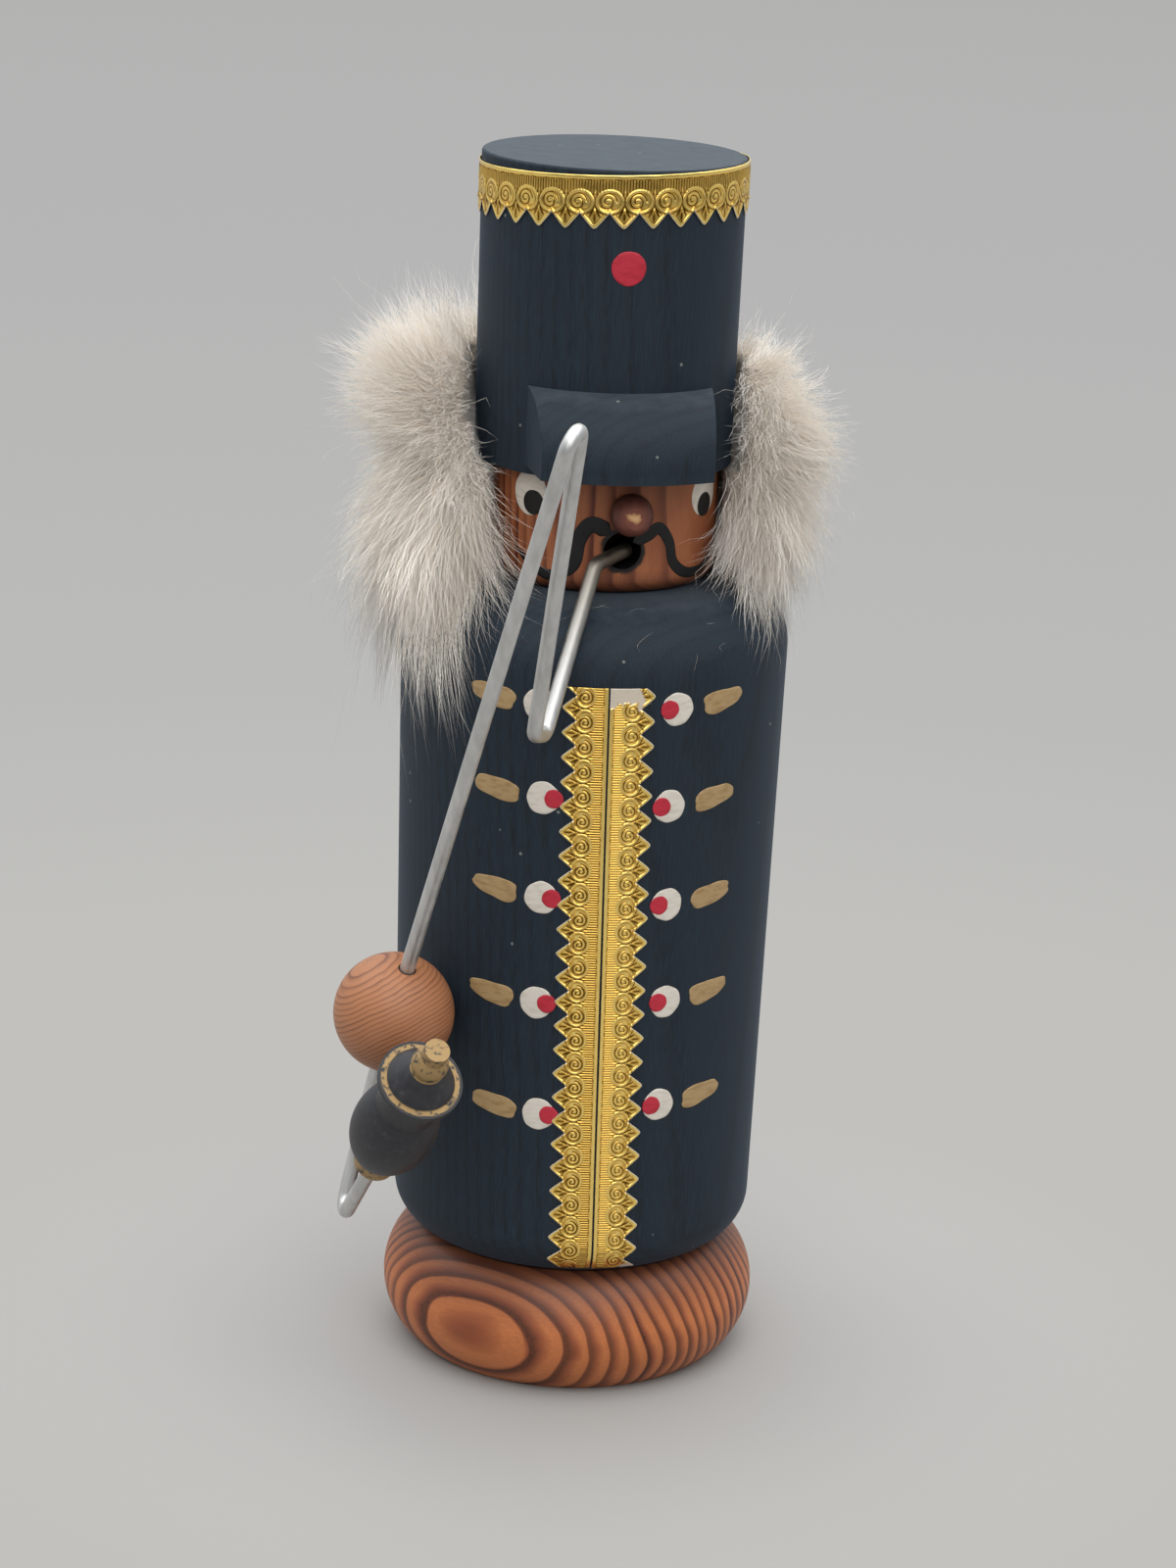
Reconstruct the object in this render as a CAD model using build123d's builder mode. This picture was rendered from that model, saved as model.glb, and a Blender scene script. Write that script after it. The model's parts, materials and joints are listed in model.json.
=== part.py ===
"""Incense smoker: a hollow turned soldier that lifts off its base, with a wire pipe in its mouth.

Millimetres, +Z up. The origin is the centre of the base's underside, and the figure faces -Y.
"""

import os
from math import ceil, cos, pi, radians, sin, tan

from build123d import *

# Heights of the turned stack, from the floor up
base_height = 20.5
coat_height = 112.5
head_height = 18.6
hat_height = 48.4

# Base: a round-edged disc with a spigot that the coat drops over
base_radius = 31.2
base_foot_inset = 5.4
base_top_inset = 6.2
base_belly_height = 9.8
spigot_radius = 20.0
spigot_height = 9.0
spigot_clearance = 0.3

# Tin dish for the incense cone, nailed on the spigot
plate_radius = 12.5
plate_floor_radius = 10.0
plate_depth = 2.4
plate_thickness = 0.5
nail_radius = 0.65
nail_length = 9.0
nail_head_radius = 1.8
nail_head_height = 0.9

# Coat: a tapered tube with round shoulders, a smoke chamber and an air hole behind
coat_hem_radius = 29.7
coat_shoulder_radius = 31.6
shoulder_round = 11.0
hem_round = 7.0
hem_land = 2.0
chamber_roof = 24.5
neck_bore_radius = 8.0
vent_radius = 3.5
vent_above_spigot = 9.0

# Head: turned with a tenon at each end, drilled for the smoke, the mouth and the nose
head_radius = 18.8
jaw_round = 2.5
neck_tenon_length = 10.0
hat_tenon_radius = 7.0
hat_tenon_length = 8.0
smoke_channel_radius = 4.5
smoke_channel_over_mouth = 4.0
mouth_clearance = 1.8
mouth_above_coat = 7.2
head_turn = 4.4

# Nose: a peg with a bulb
nose_above_coat = 13.4
nose_turn = 6.4
nose_radius = 3.4
nose_length = 5.0
nose_centre = 2.1
nose_peg_radius = 1.5
nose_peg_length = 6.0

# Hat and visor
hat_bottom_radius = 20.6
hat_top_radius = 20.95
hat_edge_round = 0.5
visor_front_width = 26.6
visor_end_taper = 4.8
visor_turn = 1.5
visor_reach = 9.2
visor_height = 12.6
visor_lip = 1.4
visor_above_head = 1.4

# Foil trim: a band round the hat and two strips down the coat
foil_thickness = 0.4
band_below_top = 0.9
band_width = 8.2
band_tooth_depth = 2.5
band_tooth_pitch = 4.9
band_turn = 5.0
strip_width = 7.0
strip_tooth_depth = 2.2
strip_tooth_pitch = 4.07
strip_below_shoulder = 11.7
strip_above_hem = 1.8
strip_seam = 0.5
strip_lean_top = -1.4
strip_lean_bottom = 0.15
strip_right_lag = 2.0
tooth_tip = 0.3

# Fur: where it begins beside the face, and how far it stands out from the coat and the hat
fur_face_half_angle = 65.0
fur_hem_over_coat = 1.8
fur_swell_over_coat = 5.9
fur_waist_over_hat = 13.4
fur_swell_over_hat = 15.4
fur_top_over_hat = 2.4
fur_below_head = 14.0
fur_above_hat_rim = 28.0
soft_gap = 0.3

# Pipe: one bent wire, a bead that leans on the coat and a turned bowl
wire_radius = 1.2
tight_bend = 2.4
stem_in_mouth = 2.3
stem_off_centre = 1.0
stem_below_centre = 0.37
stem_lean = 0.91
stem_droop = 0.1
lip_inside_shoulder = 8.2
lip_reach_least = 3.0
dip_to_side = 12.1
dip_beyond_coat = 6.9
dip_below_mouth = 24.5
bead_radius = 9.7
bead_below_mouth = 75.0
bead_side_angle = -54.2
bead_gap = 0.3
bead_clearance = 0.25
kink_below_bead = 2.4
kink_bend = 12.0

# The wire's steps from one corner to the next, as X, Y, Z, and the way that the bowl leans
dip_step = (-2.2, -4.8, 1.4)
rise_to_peak = (2.5, -21.7, 51.5)
peak_step = (-1.8, -4.9, 1.0)
bead_to_hook = (-7.1, 6.7, -37.0)
hook_step = (0.6, -4.5, 1.9)
bowl_lean = (0.188, -0.647, 0.739)
stem_in_bowl = 6.0
bowl_run = 17.9

# Turned bowl, measured along its own axis from the wire's end
bowl_radius = 6.85
bowl_belly_at = 12.4
bowl_collar_radius = 3.4
bowl_collar_length = 2.4
bowl_neck_radius = 5.0
bowl_neck_at = 20.2
bowl_rim_radius = 6.7
bowl_rim_edge = 1.0
bowl_rim_at = 28.2
lid_radius = 5.5
finial_radius = 2.9
finial_at = 33.6
finial_tip_radius = 2.0
finial_tip_length = 4.4

# The same hair of glue between every pair of glued round faces
glue_gap = 0.05

# Levels that follow from the heights
base_foot_radius = base_radius - base_foot_inset
base_top_radius = base_radius - base_top_inset
coat_top = base_height + coat_height
hat_rim = coat_top + head_height
hat_top = hat_rim + hat_height
spigot_top = base_height + spigot_height
mouth_height = coat_top + mouth_above_coat
mouth_radius = wire_radius + mouth_clearance
nose_height = coat_top + nose_above_coat
visor_bottom = hat_rim + visor_above_head
chamber_radius = spigot_radius + spigot_clearance
chamber_top = coat_top - chamber_roof
hem_fillet = min(hem_round, coat_hem_radius - chamber_radius - hem_land)
beyond = 2 * base_radius

os.makedirs("parts", exist_ok=True)


def facing(angle):
    """Unit vector, level, at an angle from the front, positive towards +X."""
    return Vector(sin(radians(angle)), -cos(radians(angle)), 0)


def turning_plane(origin, direction):
    """Plane to draw a turned profile on: local X is the radius, local Y runs along the axis."""
    radius = direction.cross(Vector(0, 0, 1))
    return Plane(origin=origin, x_dir=radius, z_dir=radius.cross(direction))


def save(piece, name):
    """Label a finished piece and write it to its file."""
    piece.label = name
    export_step(piece, f"parts/{name}.step")


def coat_outline(grow):
    """Half section of the coat's outside, grown outwards; the strips of foil are fitted to it."""
    with BuildSketch(Plane.XZ) as outline:
        with BuildLine():
            Polyline(
                (0, base_height),
                (coat_hem_radius, base_height),
                (coat_shoulder_radius, coat_top),
                (0, coat_top),
                close=True,
            )
        make_face()
        fillet(outline.vertices().group_by(Axis.Y)[-1].sort_by(Axis.X)[-1], radius=shoulder_round)
        fillet(outline.vertices().group_by(Axis.Y)[0].sort_by(Axis.X)[-1], radius=hem_fillet)
        if grow:
            offset(amount=grow)
    return outline.sketch


def hat_outline(grow):
    """Half section of the hat's outside, grown outwards; the visor and the foil band are fitted to it."""
    with BuildSketch(Plane.XZ) as outline:
        with BuildLine():
            Polyline(
                (0, hat_rim),
                (hat_bottom_radius, hat_rim),
                (hat_top_radius, hat_top),
                (0, hat_top),
                close=True,
            )
        make_face()
        if grow:
            offset(amount=grow)
    return outline.sketch


# Base with its spigot, and the nail's pilot hole
with BuildPart() as base_foot:
    with BuildSketch(Plane.XZ):
        with BuildLine():
            Line((0, 0), (base_foot_radius, 0))
            ThreePointArc(
                (base_foot_radius, 0), (base_radius, base_belly_height), (base_top_radius, base_height)
            )
            Polyline(
                (base_top_radius, base_height),
                (spigot_radius, base_height),
                (spigot_radius, spigot_top),
                (0, spigot_top),
                (0, 0),
            )
        make_face()
    revolve(axis=Axis.Z)
    with Locations((0, 0, spigot_top)):
        Hole(radius=nail_radius + glue_gap, depth=nail_length)
save(base_foot.part, "base_foot")

# Pressed dish with a turned-up rim
with BuildPart() as incense_plate:
    with BuildSketch(Plane.XZ):
        with BuildLine():
            Polyline(
                (nail_radius + glue_gap, spigot_top),
                (plate_floor_radius, spigot_top),
                (plate_radius, spigot_top + plate_depth),
                (plate_radius - plate_thickness, spigot_top + plate_depth),
                (plate_floor_radius - plate_thickness / 2, spigot_top + plate_thickness),
                (nail_radius + glue_gap, spigot_top + plate_thickness),
                close=True,
            )
        make_face()
    revolve(axis=Axis.Z)
save(incense_plate.part, "incense_plate")

# Nail through the dish, with a domed head
with BuildPart() as plate_nail:
    with BuildSketch(Plane.XZ):
        nail_seat = spigot_top + plate_thickness
        with BuildLine():
            Polyline(
                (0, nail_seat + nail_head_height),
                (0, spigot_top - nail_length + glue_gap),
                (nail_radius, spigot_top - nail_length + 2 * nail_radius),
                (nail_radius, nail_seat),
                (nail_head_radius, nail_seat),
            )
            TangentArc((0, nail_seat + nail_head_height), (nail_head_radius, nail_seat), tangent=(1, 0))
        make_face()
    revolve(axis=Axis.Z)
save(plate_nail.part, "plate_nail")

# Coat: the outline up to the shoulders, bored from below, with a neck bore and the air hole
with BuildPart() as coat_body:
    with BuildSketch(Plane.XZ):
        add(coat_outline(0))
        with BuildLine():
            Polyline(
                (0, base_height),
                (chamber_radius, base_height),
                (chamber_radius, chamber_top),
                (neck_bore_radius, chamber_top + chamber_radius - neck_bore_radius),
                (neck_bore_radius, coat_top),
                (0, coat_top),
                close=True,
            )
        make_face(mode=Mode.SUBTRACT)
    revolve(axis=Axis.Z)
    with BuildSketch(Plane.XZ):
        with Locations((0, spigot_top + vent_above_spigot)):
            Circle(vent_radius)
    extrude(amount=-beyond, mode=Mode.SUBTRACT)
save(coat_body.part, "coat_body")

# Head: barrel with a rounded jaw, two tenons, and holes for smoke, mouth and nose peg
face_direction = facing(head_turn)
mouth_centre = face_direction * head_radius + Vector(0, 0, mouth_height)
nose_direction = facing(nose_turn)
nose_seat = nose_direction * head_radius + Vector(0, 0, nose_height)
with BuildPart() as head:
    with BuildSketch(Plane.XZ):
        with BuildLine():
            Polyline(
                (0, coat_top - neck_tenon_length),
                (neck_bore_radius - glue_gap, coat_top - neck_tenon_length),
                (neck_bore_radius - glue_gap, coat_top),
                (head_radius - jaw_round, coat_top),
            )
            RadiusArc((head_radius - jaw_round, coat_top), (head_radius, coat_top + jaw_round), -jaw_round)
            Polyline(
                (head_radius, coat_top + jaw_round),
                (head_radius, hat_rim),
                (hat_tenon_radius, hat_rim),
                (hat_tenon_radius, hat_rim + hat_tenon_length),
                (0, hat_rim + hat_tenon_length),
                (0, coat_top - neck_tenon_length),
            )
        make_face()
    revolve(axis=Axis.Z)
    with BuildSketch(Plane.XY.offset(coat_top - neck_tenon_length)):
        Circle(smoke_channel_radius)
    extrude(amount=neck_tenon_length + mouth_above_coat + smoke_channel_over_mouth, mode=Mode.SUBTRACT)
    with BuildSketch(Plane(origin=(0, 0, mouth_height), z_dir=face_direction)):
        Circle(mouth_radius)
    extrude(amount=beyond, mode=Mode.SUBTRACT)
    with BuildSketch(Plane(origin=nose_seat, z_dir=nose_direction * -1)):
        Circle(nose_peg_radius + glue_gap)
    extrude(amount=nose_peg_length + glue_gap, mode=Mode.SUBTRACT)
save(head.part, "head")

# Nose: a peg, and a bulb that is flat against the face and blunt at the tip
with BuildPart() as nose:
    with BuildSketch(turning_plane(nose_seat, nose_direction)):
        with Locations((0, nose_centre)):
            Circle(nose_radius)
        with Locations((0, glue_gap)):
            Rectangle(2 * nose_radius, nose_length, align=(Align.MIN, Align.MIN), mode=Mode.INTERSECT)
        with Locations((0, -nose_peg_length)):
            Rectangle(nose_peg_radius, nose_peg_length + nose_centre, align=(Align.MIN, Align.MIN))
    revolve(axis=Axis(nose_seat, nose_direction))
save(nose.part, "nose")

# Hat: slightly wider at the top, with an eased top edge and a socket for the head's tenon
with BuildPart() as hat:
    with BuildSketch(Plane.XZ):
        with BuildLine():
            Polyline(
                (0, hat_rim + hat_tenon_length + glue_gap),
                (hat_tenon_radius + glue_gap, hat_rim + hat_tenon_length + glue_gap),
                (hat_tenon_radius + glue_gap, hat_rim),
                (hat_bottom_radius, hat_rim),
                (hat_top_radius, hat_top),
                (0, hat_top),
                close=True,
            )
        make_face()
    revolve(axis=Axis.Z)
    fillet(hat.edges().sort_by(SortBy.LENGTH)[-1], radius=hat_edge_round)
save(hat.part, "hat")

# Visor: a piece of a turned quarter-round ring, sawn off at both ends and glued on the hat
visor_top = visor_bottom + visor_height
lip_top = visor_bottom + visor_lip
visor_front = hat_bottom_radius + visor_reach
visor_back_width = visor_front_width + 2 * visor_front * tan(radians(visor_end_taper))
with BuildPart() as visor:
    with BuildSketch(Plane.XZ):
        with BuildLine():
            Polyline(
                (hat_bottom_radius, visor_top),
                (hat_tenon_radius, visor_top),
                (hat_tenon_radius, visor_bottom),
                (visor_front, visor_bottom),
                (visor_front, lip_top),
            )
            ThreePointArc(
                (visor_front, lip_top),
                (hat_bottom_radius + visor_reach * sin(pi / 4), lip_top + (visor_top - lip_top) * sin(pi / 4)),
                (hat_bottom_radius, visor_top),
            )
        make_face()
    revolve(axis=Axis.Z)
    with BuildSketch(Plane.XY.rotated((0, 0, visor_turn))):
        with BuildLine():
            Polyline(
                (-visor_back_width / 2, 0),
                (visor_back_width / 2, 0),
                (visor_front_width / 2, -visor_front),
                (visor_front_width / 2, -beyond),
                (-visor_front_width / 2, -beyond),
                (-visor_front_width / 2, -visor_front),
                close=True,
            )
        make_face()
    extrude(amount=2 * hat_top, mode=Mode.INTERSECT)
    with BuildSketch(Plane.XZ):
        add(hat_outline(glue_gap))
        with Locations((0, base_height)):
            Rectangle(beyond, 2 * hat_top, align=(Align.MAX, Align.CENTER), mode=Mode.SUBTRACT)
    revolve(axis=Axis.Z, mode=Mode.SUBTRACT)
save(visor.part, "visor")


def foil_section(outline, bottom, top):
    """Section of a foil skin that lies on an outline between two heights."""
    with BuildSketch(Plane.XZ) as section:
        add(outline(glue_gap + foil_thickness))
        add(outline(glue_gap), mode=Mode.SUBTRACT)
        with Locations((hat_tenon_radius, bottom)):
            Rectangle(beyond, top - bottom, align=(Align.MIN, Align.MIN), mode=Mode.INTERSECT)
    return section.sketch


# Band round the hat, with a row of pointed teeth cut along its lower edge
band_top = hat_top - band_below_top
band_teeth = round(2 * pi * hat_top_radius / band_tooth_pitch)
band_pitch = 2 * hat_top_radius * sin(pi / band_teeth)
with BuildPart() as band_notch:
    with BuildSketch(Plane.XZ):
        with BuildLine():
            Polyline(
                (0, band_top - band_width + band_tooth_depth),
                (band_pitch / 2 - tooth_tip / 2, band_top - band_width),
                (band_pitch / 2 - tooth_tip / 2, band_top - 2 * band_width),
                (tooth_tip / 2 - band_pitch / 2, band_top - 2 * band_width),
                (tooth_tip / 2 - band_pitch / 2, band_top - band_width),
                close=True,
            )
        make_face()
    extrude(amount=beyond)
with BuildPart() as hat_band:
    with BuildSketch(Plane.XZ):
        add(foil_section(hat_outline, band_top - band_width, band_top))
    revolve(axis=Axis.Z)
    with PolarLocations(0, band_teeth, start_angle=band_turn):
        add(band_notch.part, mode=Mode.SUBTRACT)
save(hat_band.part, "hat_band")

# Two strips down the coat, plain along the seam and toothed on the outside; the seam leans a little,
# and the right strip's teeth lag behind the left one's
strip_bottom = base_height + strip_above_hem
strip_length = coat_top - strip_below_shoulder - strip_bottom
strip_teeth = ceil(strip_length / strip_tooth_pitch)


def leaning(across, height):
    """A point of the strip's flat cut, moved sideways by the seam's lean at its height."""
    share = (height - strip_bottom) / strip_length
    return (across + strip_lean_bottom + (strip_lean_top - strip_lean_bottom) * share, height)


for name, side, lag in (("coat_trim_left", -1, 0), ("coat_trim_right", 1, strip_right_lag)):
    seam = side * strip_seam / 2
    tip = side * (strip_seam / 2 + strip_width)
    root = side * (strip_seam / 2 + strip_width - strip_tooth_depth)
    low_end = strip_bottom + lag - strip_tooth_pitch
    high_end = low_end + (strip_teeth + 1) * strip_tooth_pitch
    cut = [leaning(seam, high_end), leaning(seam, low_end), leaning(root, low_end)]
    for tooth in range(strip_teeth + 1):
        middle = low_end + (tooth + 0.5) * strip_tooth_pitch
        cut += [
            leaning(tip, middle - tooth_tip / 2),
            leaning(tip, middle + tooth_tip / 2),
            leaning(root, middle + strip_tooth_pitch / 2),
        ]
    with BuildPart() as strip:
        with BuildSketch(Plane.XZ.rotated((0, 0, -135))):
            add(foil_section(coat_outline, strip_bottom, strip_bottom + strip_length))
        revolve(axis=Axis.Z, revolution_arc=90)
        with BuildSketch(Plane.XZ):
            with BuildLine():
                Polyline(*cut, close=True)
            make_face()
        extrude(amount=beyond, mode=Mode.INTERSECT)
    save(strip.part, name)

# Fur: a collar from cheek to cheek round the back, in two swells with a waist between them
fur_bottom = coat_top - fur_below_head
fur_top = hat_rim + fur_above_hat_rim
fur_hem_radius = coat_shoulder_radius + fur_hem_over_coat
fur_lower_radius = coat_shoulder_radius + fur_swell_over_coat
fur_waist_radius = hat_bottom_radius + fur_waist_over_hat
fur_upper_radius = hat_bottom_radius + fur_swell_over_hat
fur_top_radius = hat_top_radius + fur_top_over_hat
shoulder_reach = (shoulder_round + soft_gap) * tan(pi / 8)
shoulder_flat = coat_shoulder_radius - shoulder_round + shoulder_reach
shoulder_side = coat_top - shoulder_round + shoulder_reach
hat_step = soft_gap if head_radius > hat_top_radius else -soft_gap
with BuildPart() as fur_hair:
    with BuildSketch(Plane.XZ.rotated((0, 0, fur_face_half_angle - 90 + head_turn))):
        with BuildLine():
            Polyline(
                (hat_top_radius + soft_gap, fur_top),
                (hat_top_radius + soft_gap, hat_rim + hat_step),
                (head_radius + soft_gap, hat_rim + hat_step),
                (head_radius + soft_gap, coat_top + soft_gap),
                (shoulder_flat, coat_top + soft_gap),
                (coat_shoulder_radius + soft_gap, shoulder_side),
                (coat_shoulder_radius + soft_gap, fur_bottom),
                (fur_hem_radius, fur_bottom),
                (fur_lower_radius, coat_top - fur_below_head / 4),
                (fur_lower_radius, coat_top + head_height / 3),
                (fur_waist_radius, hat_rim),
                (fur_upper_radius, hat_rim + fur_above_hat_rim / 4),
                (fur_upper_radius, hat_rim + fur_above_hat_rim / 2),
                (fur_top_radius, fur_top),
                close=True,
            )
        make_face()
    revolve(axis=Axis.Z, revolution_arc=360 - 2 * fur_face_half_angle)
save(fur_hair.part, "fur_hair")

# Pipe stem: the wire's corners, from the end in the mouth down to the bowl
mouth_right = facing(head_turn + 90)
lip_reach = max(coat_shoulder_radius - head_radius - lip_inside_shoulder, lip_reach_least)
stem_end = mouth_centre - face_direction * stem_in_mouth + mouth_right * stem_off_centre
stem_end = stem_end - Vector(0, 0, stem_below_centre)
stem_run = face_direction - mouth_right * stem_lean - Vector(0, 0, stem_droop)
lip_bend = stem_end + stem_run * (stem_in_mouth + lip_reach)
dip_front = coat_shoulder_radius + dip_beyond_coat
dip_inner = Vector(-dip_to_side, -dip_front, mouth_height - dip_below_mouth)
dip_outer = dip_inner + Vector(dip_step)
peak_inner = dip_outer + Vector(rise_to_peak)
peak_outer = peak_inner + Vector(peak_step)
bead_height = mouth_height - bead_below_mouth
coat_taper = (coat_shoulder_radius - coat_hem_radius) / coat_height
coat_radius_at_bead = coat_hem_radius + coat_taper * (bead_height - base_height)
bead_centre = facing(bead_side_angle) * (coat_radius_at_bead + bead_radius + bead_gap)
bead_centre = bead_centre + Vector(0, 0, bead_height)
leg_direction = (peak_outer - bead_centre).normalized()
kink = bead_centre - leg_direction * (bead_radius + kink_below_bead)
hook_inner = bead_centre + Vector(bead_to_hook)
hook_outer = hook_inner + Vector(hook_step)
bowl_direction = Vector(bowl_lean).normalized()
bowl_seat = hook_outer + bowl_direction * bowl_run
stem_tip = bowl_seat + bowl_direction * stem_in_bowl
stem_corners = [
    stem_end, lip_bend, dip_inner, dip_outer, peak_inner, peak_outer, kink, hook_inner, hook_outer, stem_tip
]
stem_bends = [
    tight_bend, tight_bend, tight_bend, tight_bend, tight_bend, kink_bend, tight_bend, tight_bend
]
with BuildPart() as pipe_stem:
    with BuildLine() as wire_path:
        FilletPolyline(*stem_corners, radius=stem_bends)
    with BuildSketch(Plane(origin=wire_path.line @ 0, z_dir=wire_path.line % 0)):
        Circle(wire_radius)
    sweep(path=wire_path.line)
save(pipe_stem.part, "pipe_stem")
wire_length = wire_path.wire().length
print(f"wire {wire_length:.1f} mm long: {wire_length * pi * wire_radius**2:.1f} mm3 by its length")
print(f"wire solid: {pipe_stem.part.volume:.1f} mm3")

# Bead: bored to run on the wire's long leg, where it stops at the kink
with BuildPart() as stem_bead:
    with Locations(Plane(origin=bead_centre, z_dir=leg_direction)):
        Sphere(bead_radius)
        Cylinder(wire_radius + bead_clearance, 3 * bead_radius, mode=Mode.SUBTRACT)
save(stem_bead.part, "stem_bead")

# Bowl: collar, egg, flared rim, cone lid and a two-step finial, turned in one
bowl_length = finial_at + finial_tip_length
with BuildPart() as pipe_bowl:
    with BuildSketch(turning_plane(bowl_seat, bowl_direction)):
        with BuildLine():
            Polyline((0, 0), (bowl_collar_radius, 0), (bowl_collar_radius, bowl_collar_length))
            ThreePointArc(
                (bowl_collar_radius, bowl_collar_length),
                (bowl_radius, bowl_belly_at),
                (bowl_neck_radius, bowl_neck_at),
            )
            TangentArc(
                (bowl_neck_radius, bowl_neck_at),
                (bowl_rim_radius, bowl_rim_at - bowl_rim_edge),
                tangent=(0, 1),
            )
            Polyline(
                (bowl_rim_radius, bowl_rim_at - bowl_rim_edge),
                (bowl_rim_radius, bowl_rim_at),
                (lid_radius, bowl_rim_at),
                (finial_radius / 2, finial_at),
                (0, finial_at),
                (0, 0),
            )
        make_face()
        with Locations((0, finial_at)):
            Circle(finial_radius)
        with Locations((0, finial_at)):
            Rectangle(finial_tip_radius, finial_tip_length, align=(Align.MIN, Align.MIN))
        Rectangle(2 * bowl_radius, bowl_length, align=(Align.MIN, Align.MIN), mode=Mode.INTERSECT)
    revolve(axis=Axis(bowl_seat, bowl_direction))
    with BuildSketch(Plane(origin=bowl_seat, z_dir=bowl_direction)):
        Circle(wire_radius + glue_gap)
    extrude(amount=stem_in_bowl + glue_gap, mode=Mode.SUBTRACT)
save(pipe_bowl.part, "pipe_bowl")
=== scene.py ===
# %% [markdown]
# # A turned incense smoker
# The real figure is a hollow soldier turned on a lathe, stained, painted by hand, trimmed with embossed
# foil and dressed with a strip of rabbit fur. A wire pipe hangs from its mouth.
# The CAD model already has every turned form at its true size, so this lesson keeps those forms and gives
# them their finish, and it models only what a lathe can't make: foil relief, paint films and fur.

# %% Load the fixed frame
import json
import math

import bpy
import numpy as np
from mathutils import Matrix, Vector


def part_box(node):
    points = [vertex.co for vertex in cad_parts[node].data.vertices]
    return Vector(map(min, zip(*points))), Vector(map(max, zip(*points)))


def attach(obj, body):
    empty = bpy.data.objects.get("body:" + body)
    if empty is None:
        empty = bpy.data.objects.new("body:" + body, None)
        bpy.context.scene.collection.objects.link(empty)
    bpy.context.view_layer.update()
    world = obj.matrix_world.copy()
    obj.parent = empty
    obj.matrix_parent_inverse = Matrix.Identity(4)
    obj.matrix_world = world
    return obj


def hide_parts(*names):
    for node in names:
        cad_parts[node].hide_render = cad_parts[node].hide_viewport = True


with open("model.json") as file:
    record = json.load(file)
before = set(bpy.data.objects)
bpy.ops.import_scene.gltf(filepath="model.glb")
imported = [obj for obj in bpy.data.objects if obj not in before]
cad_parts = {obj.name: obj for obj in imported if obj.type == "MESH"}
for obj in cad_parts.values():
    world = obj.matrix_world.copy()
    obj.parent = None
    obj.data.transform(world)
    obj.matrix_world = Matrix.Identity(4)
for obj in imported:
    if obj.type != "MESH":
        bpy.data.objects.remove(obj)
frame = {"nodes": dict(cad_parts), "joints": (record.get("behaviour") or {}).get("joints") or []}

bpy.ops.object.select_all(action="DESELECT")
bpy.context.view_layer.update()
scene = bpy.context.scene
nodes = frame["nodes"]
MM = 0.001

# %% [markdown]
# ## Camera
# A camera can be placed by eye or worked out. Here it was worked out from the turned edges, whose ellipses
# tell how high the lens stood: it looks down by about 17 degrees, a little from the figure's right, and it
# is tipped by 2.5 degrees, which is why the figure seems to lean.

# %% Camera
picture_height = 1600  # pixels, and so is the focal length
focal_length = 4055
sensor_size = 36.0
camera_turn = 7.5
camera_pitch = 16.583
camera_roll = 2.484
camera_back = 626.2 * MM
camera_height = 282.85 * MM
upright = Vector((0, 0, 1))
round_figure = Matrix.Rotation(math.radians(-camera_turn), 4, "Z")
tip_down = Matrix.Rotation(math.radians(90.0 - camera_pitch), 4, "X")
camera_axes = round_figure @ tip_down @ Matrix.Rotation(math.radians(camera_roll), 4, "Z")
bpy.ops.object.camera_add()
camera = bpy.context.object
camera.name = "camera"
camera_place = round_figure @ Vector((0, -camera_back, camera_height))
camera.matrix_world = Matrix.Translation(camera_place) @ camera_axes
camera.data.sensor_width = sensor_size
camera.data.lens = sensor_size * focal_length / picture_height
scene.camera = camera
print("camera at", [round(value, 4) for value in camera.location], "lens", round(camera.data.lens, 2))

# %% [markdown]
# ## Colour and nodes
# Colours are written as the sRGB hex values that a colour picker shows. Blender's shaders add up light, so
# one function turns a hex value into linear numbers. One more function adds a shader node, sets it and
# links it, which keeps each finish below as short as a recipe.
# Inputs go by name, or by number where a node has many of one name. Map Range counts its value as 0, the
# range that it reads as 1 and 2, and the range that it gives as 3 and 4. Mix has its share at 0 and its two
# colours at 6 and 7.


# %% Colours and nodes
def linear(code):
    """An sRGB hex colour as linear RGBA."""
    shares = [int(code[place : place + 2], 16) / 255 for place in (1, 3, 5)]
    return tuple(s / 12.92 if s <= 0.04045 else ((s + 0.055) / 1.055) ** 2.4 for s in shares) + (1.0,)


def plug(node, inputs):
    """Fill a node's inputs: a value is set, a socket is linked, a node is linked by its first open output."""
    for name, value in inputs.items():
        if isinstance(value, bpy.types.Node):
            value = next(socket for socket in value.outputs if socket.enabled)
        if isinstance(value, bpy.types.NodeSocket):
            node.id_data.links.new(value, node.inputs[name])
        else:
            node.inputs[name].default_value = value


def add(tree, kind, inputs=None, stops=None, **settings):
    """Add one node: set its properties, fill or link its inputs, and place a ramp's colour stops."""
    made = tree.nodes.new("ShaderNode" + kind)
    for name, value in settings.items():
        setattr(made, name, value)
    plug(made, inputs or {})
    if stops:
        while len(made.color_ramp.elements) < len(stops):
            made.color_ramp.elements.new(1.0)
        for element, (place, code) in zip(made.color_ramp.elements, stops):
            element.position = place
            element.color = linear(code)
    return made


print("mid grey #808080 is", round(linear("#808080")[0], 3), "in linear light")


# %% Materials
def finish(name, constants):
    """A new material with its main shader's constants set; gives the material, its tree and that shader."""
    material = bpy.data.materials.new(name)
    material.use_nodes = True
    shader = material.node_tree.nodes["Principled BSDF"]
    plug(shader, constants)
    print("finish:", name)
    return material, material.node_tree, shader


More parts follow.
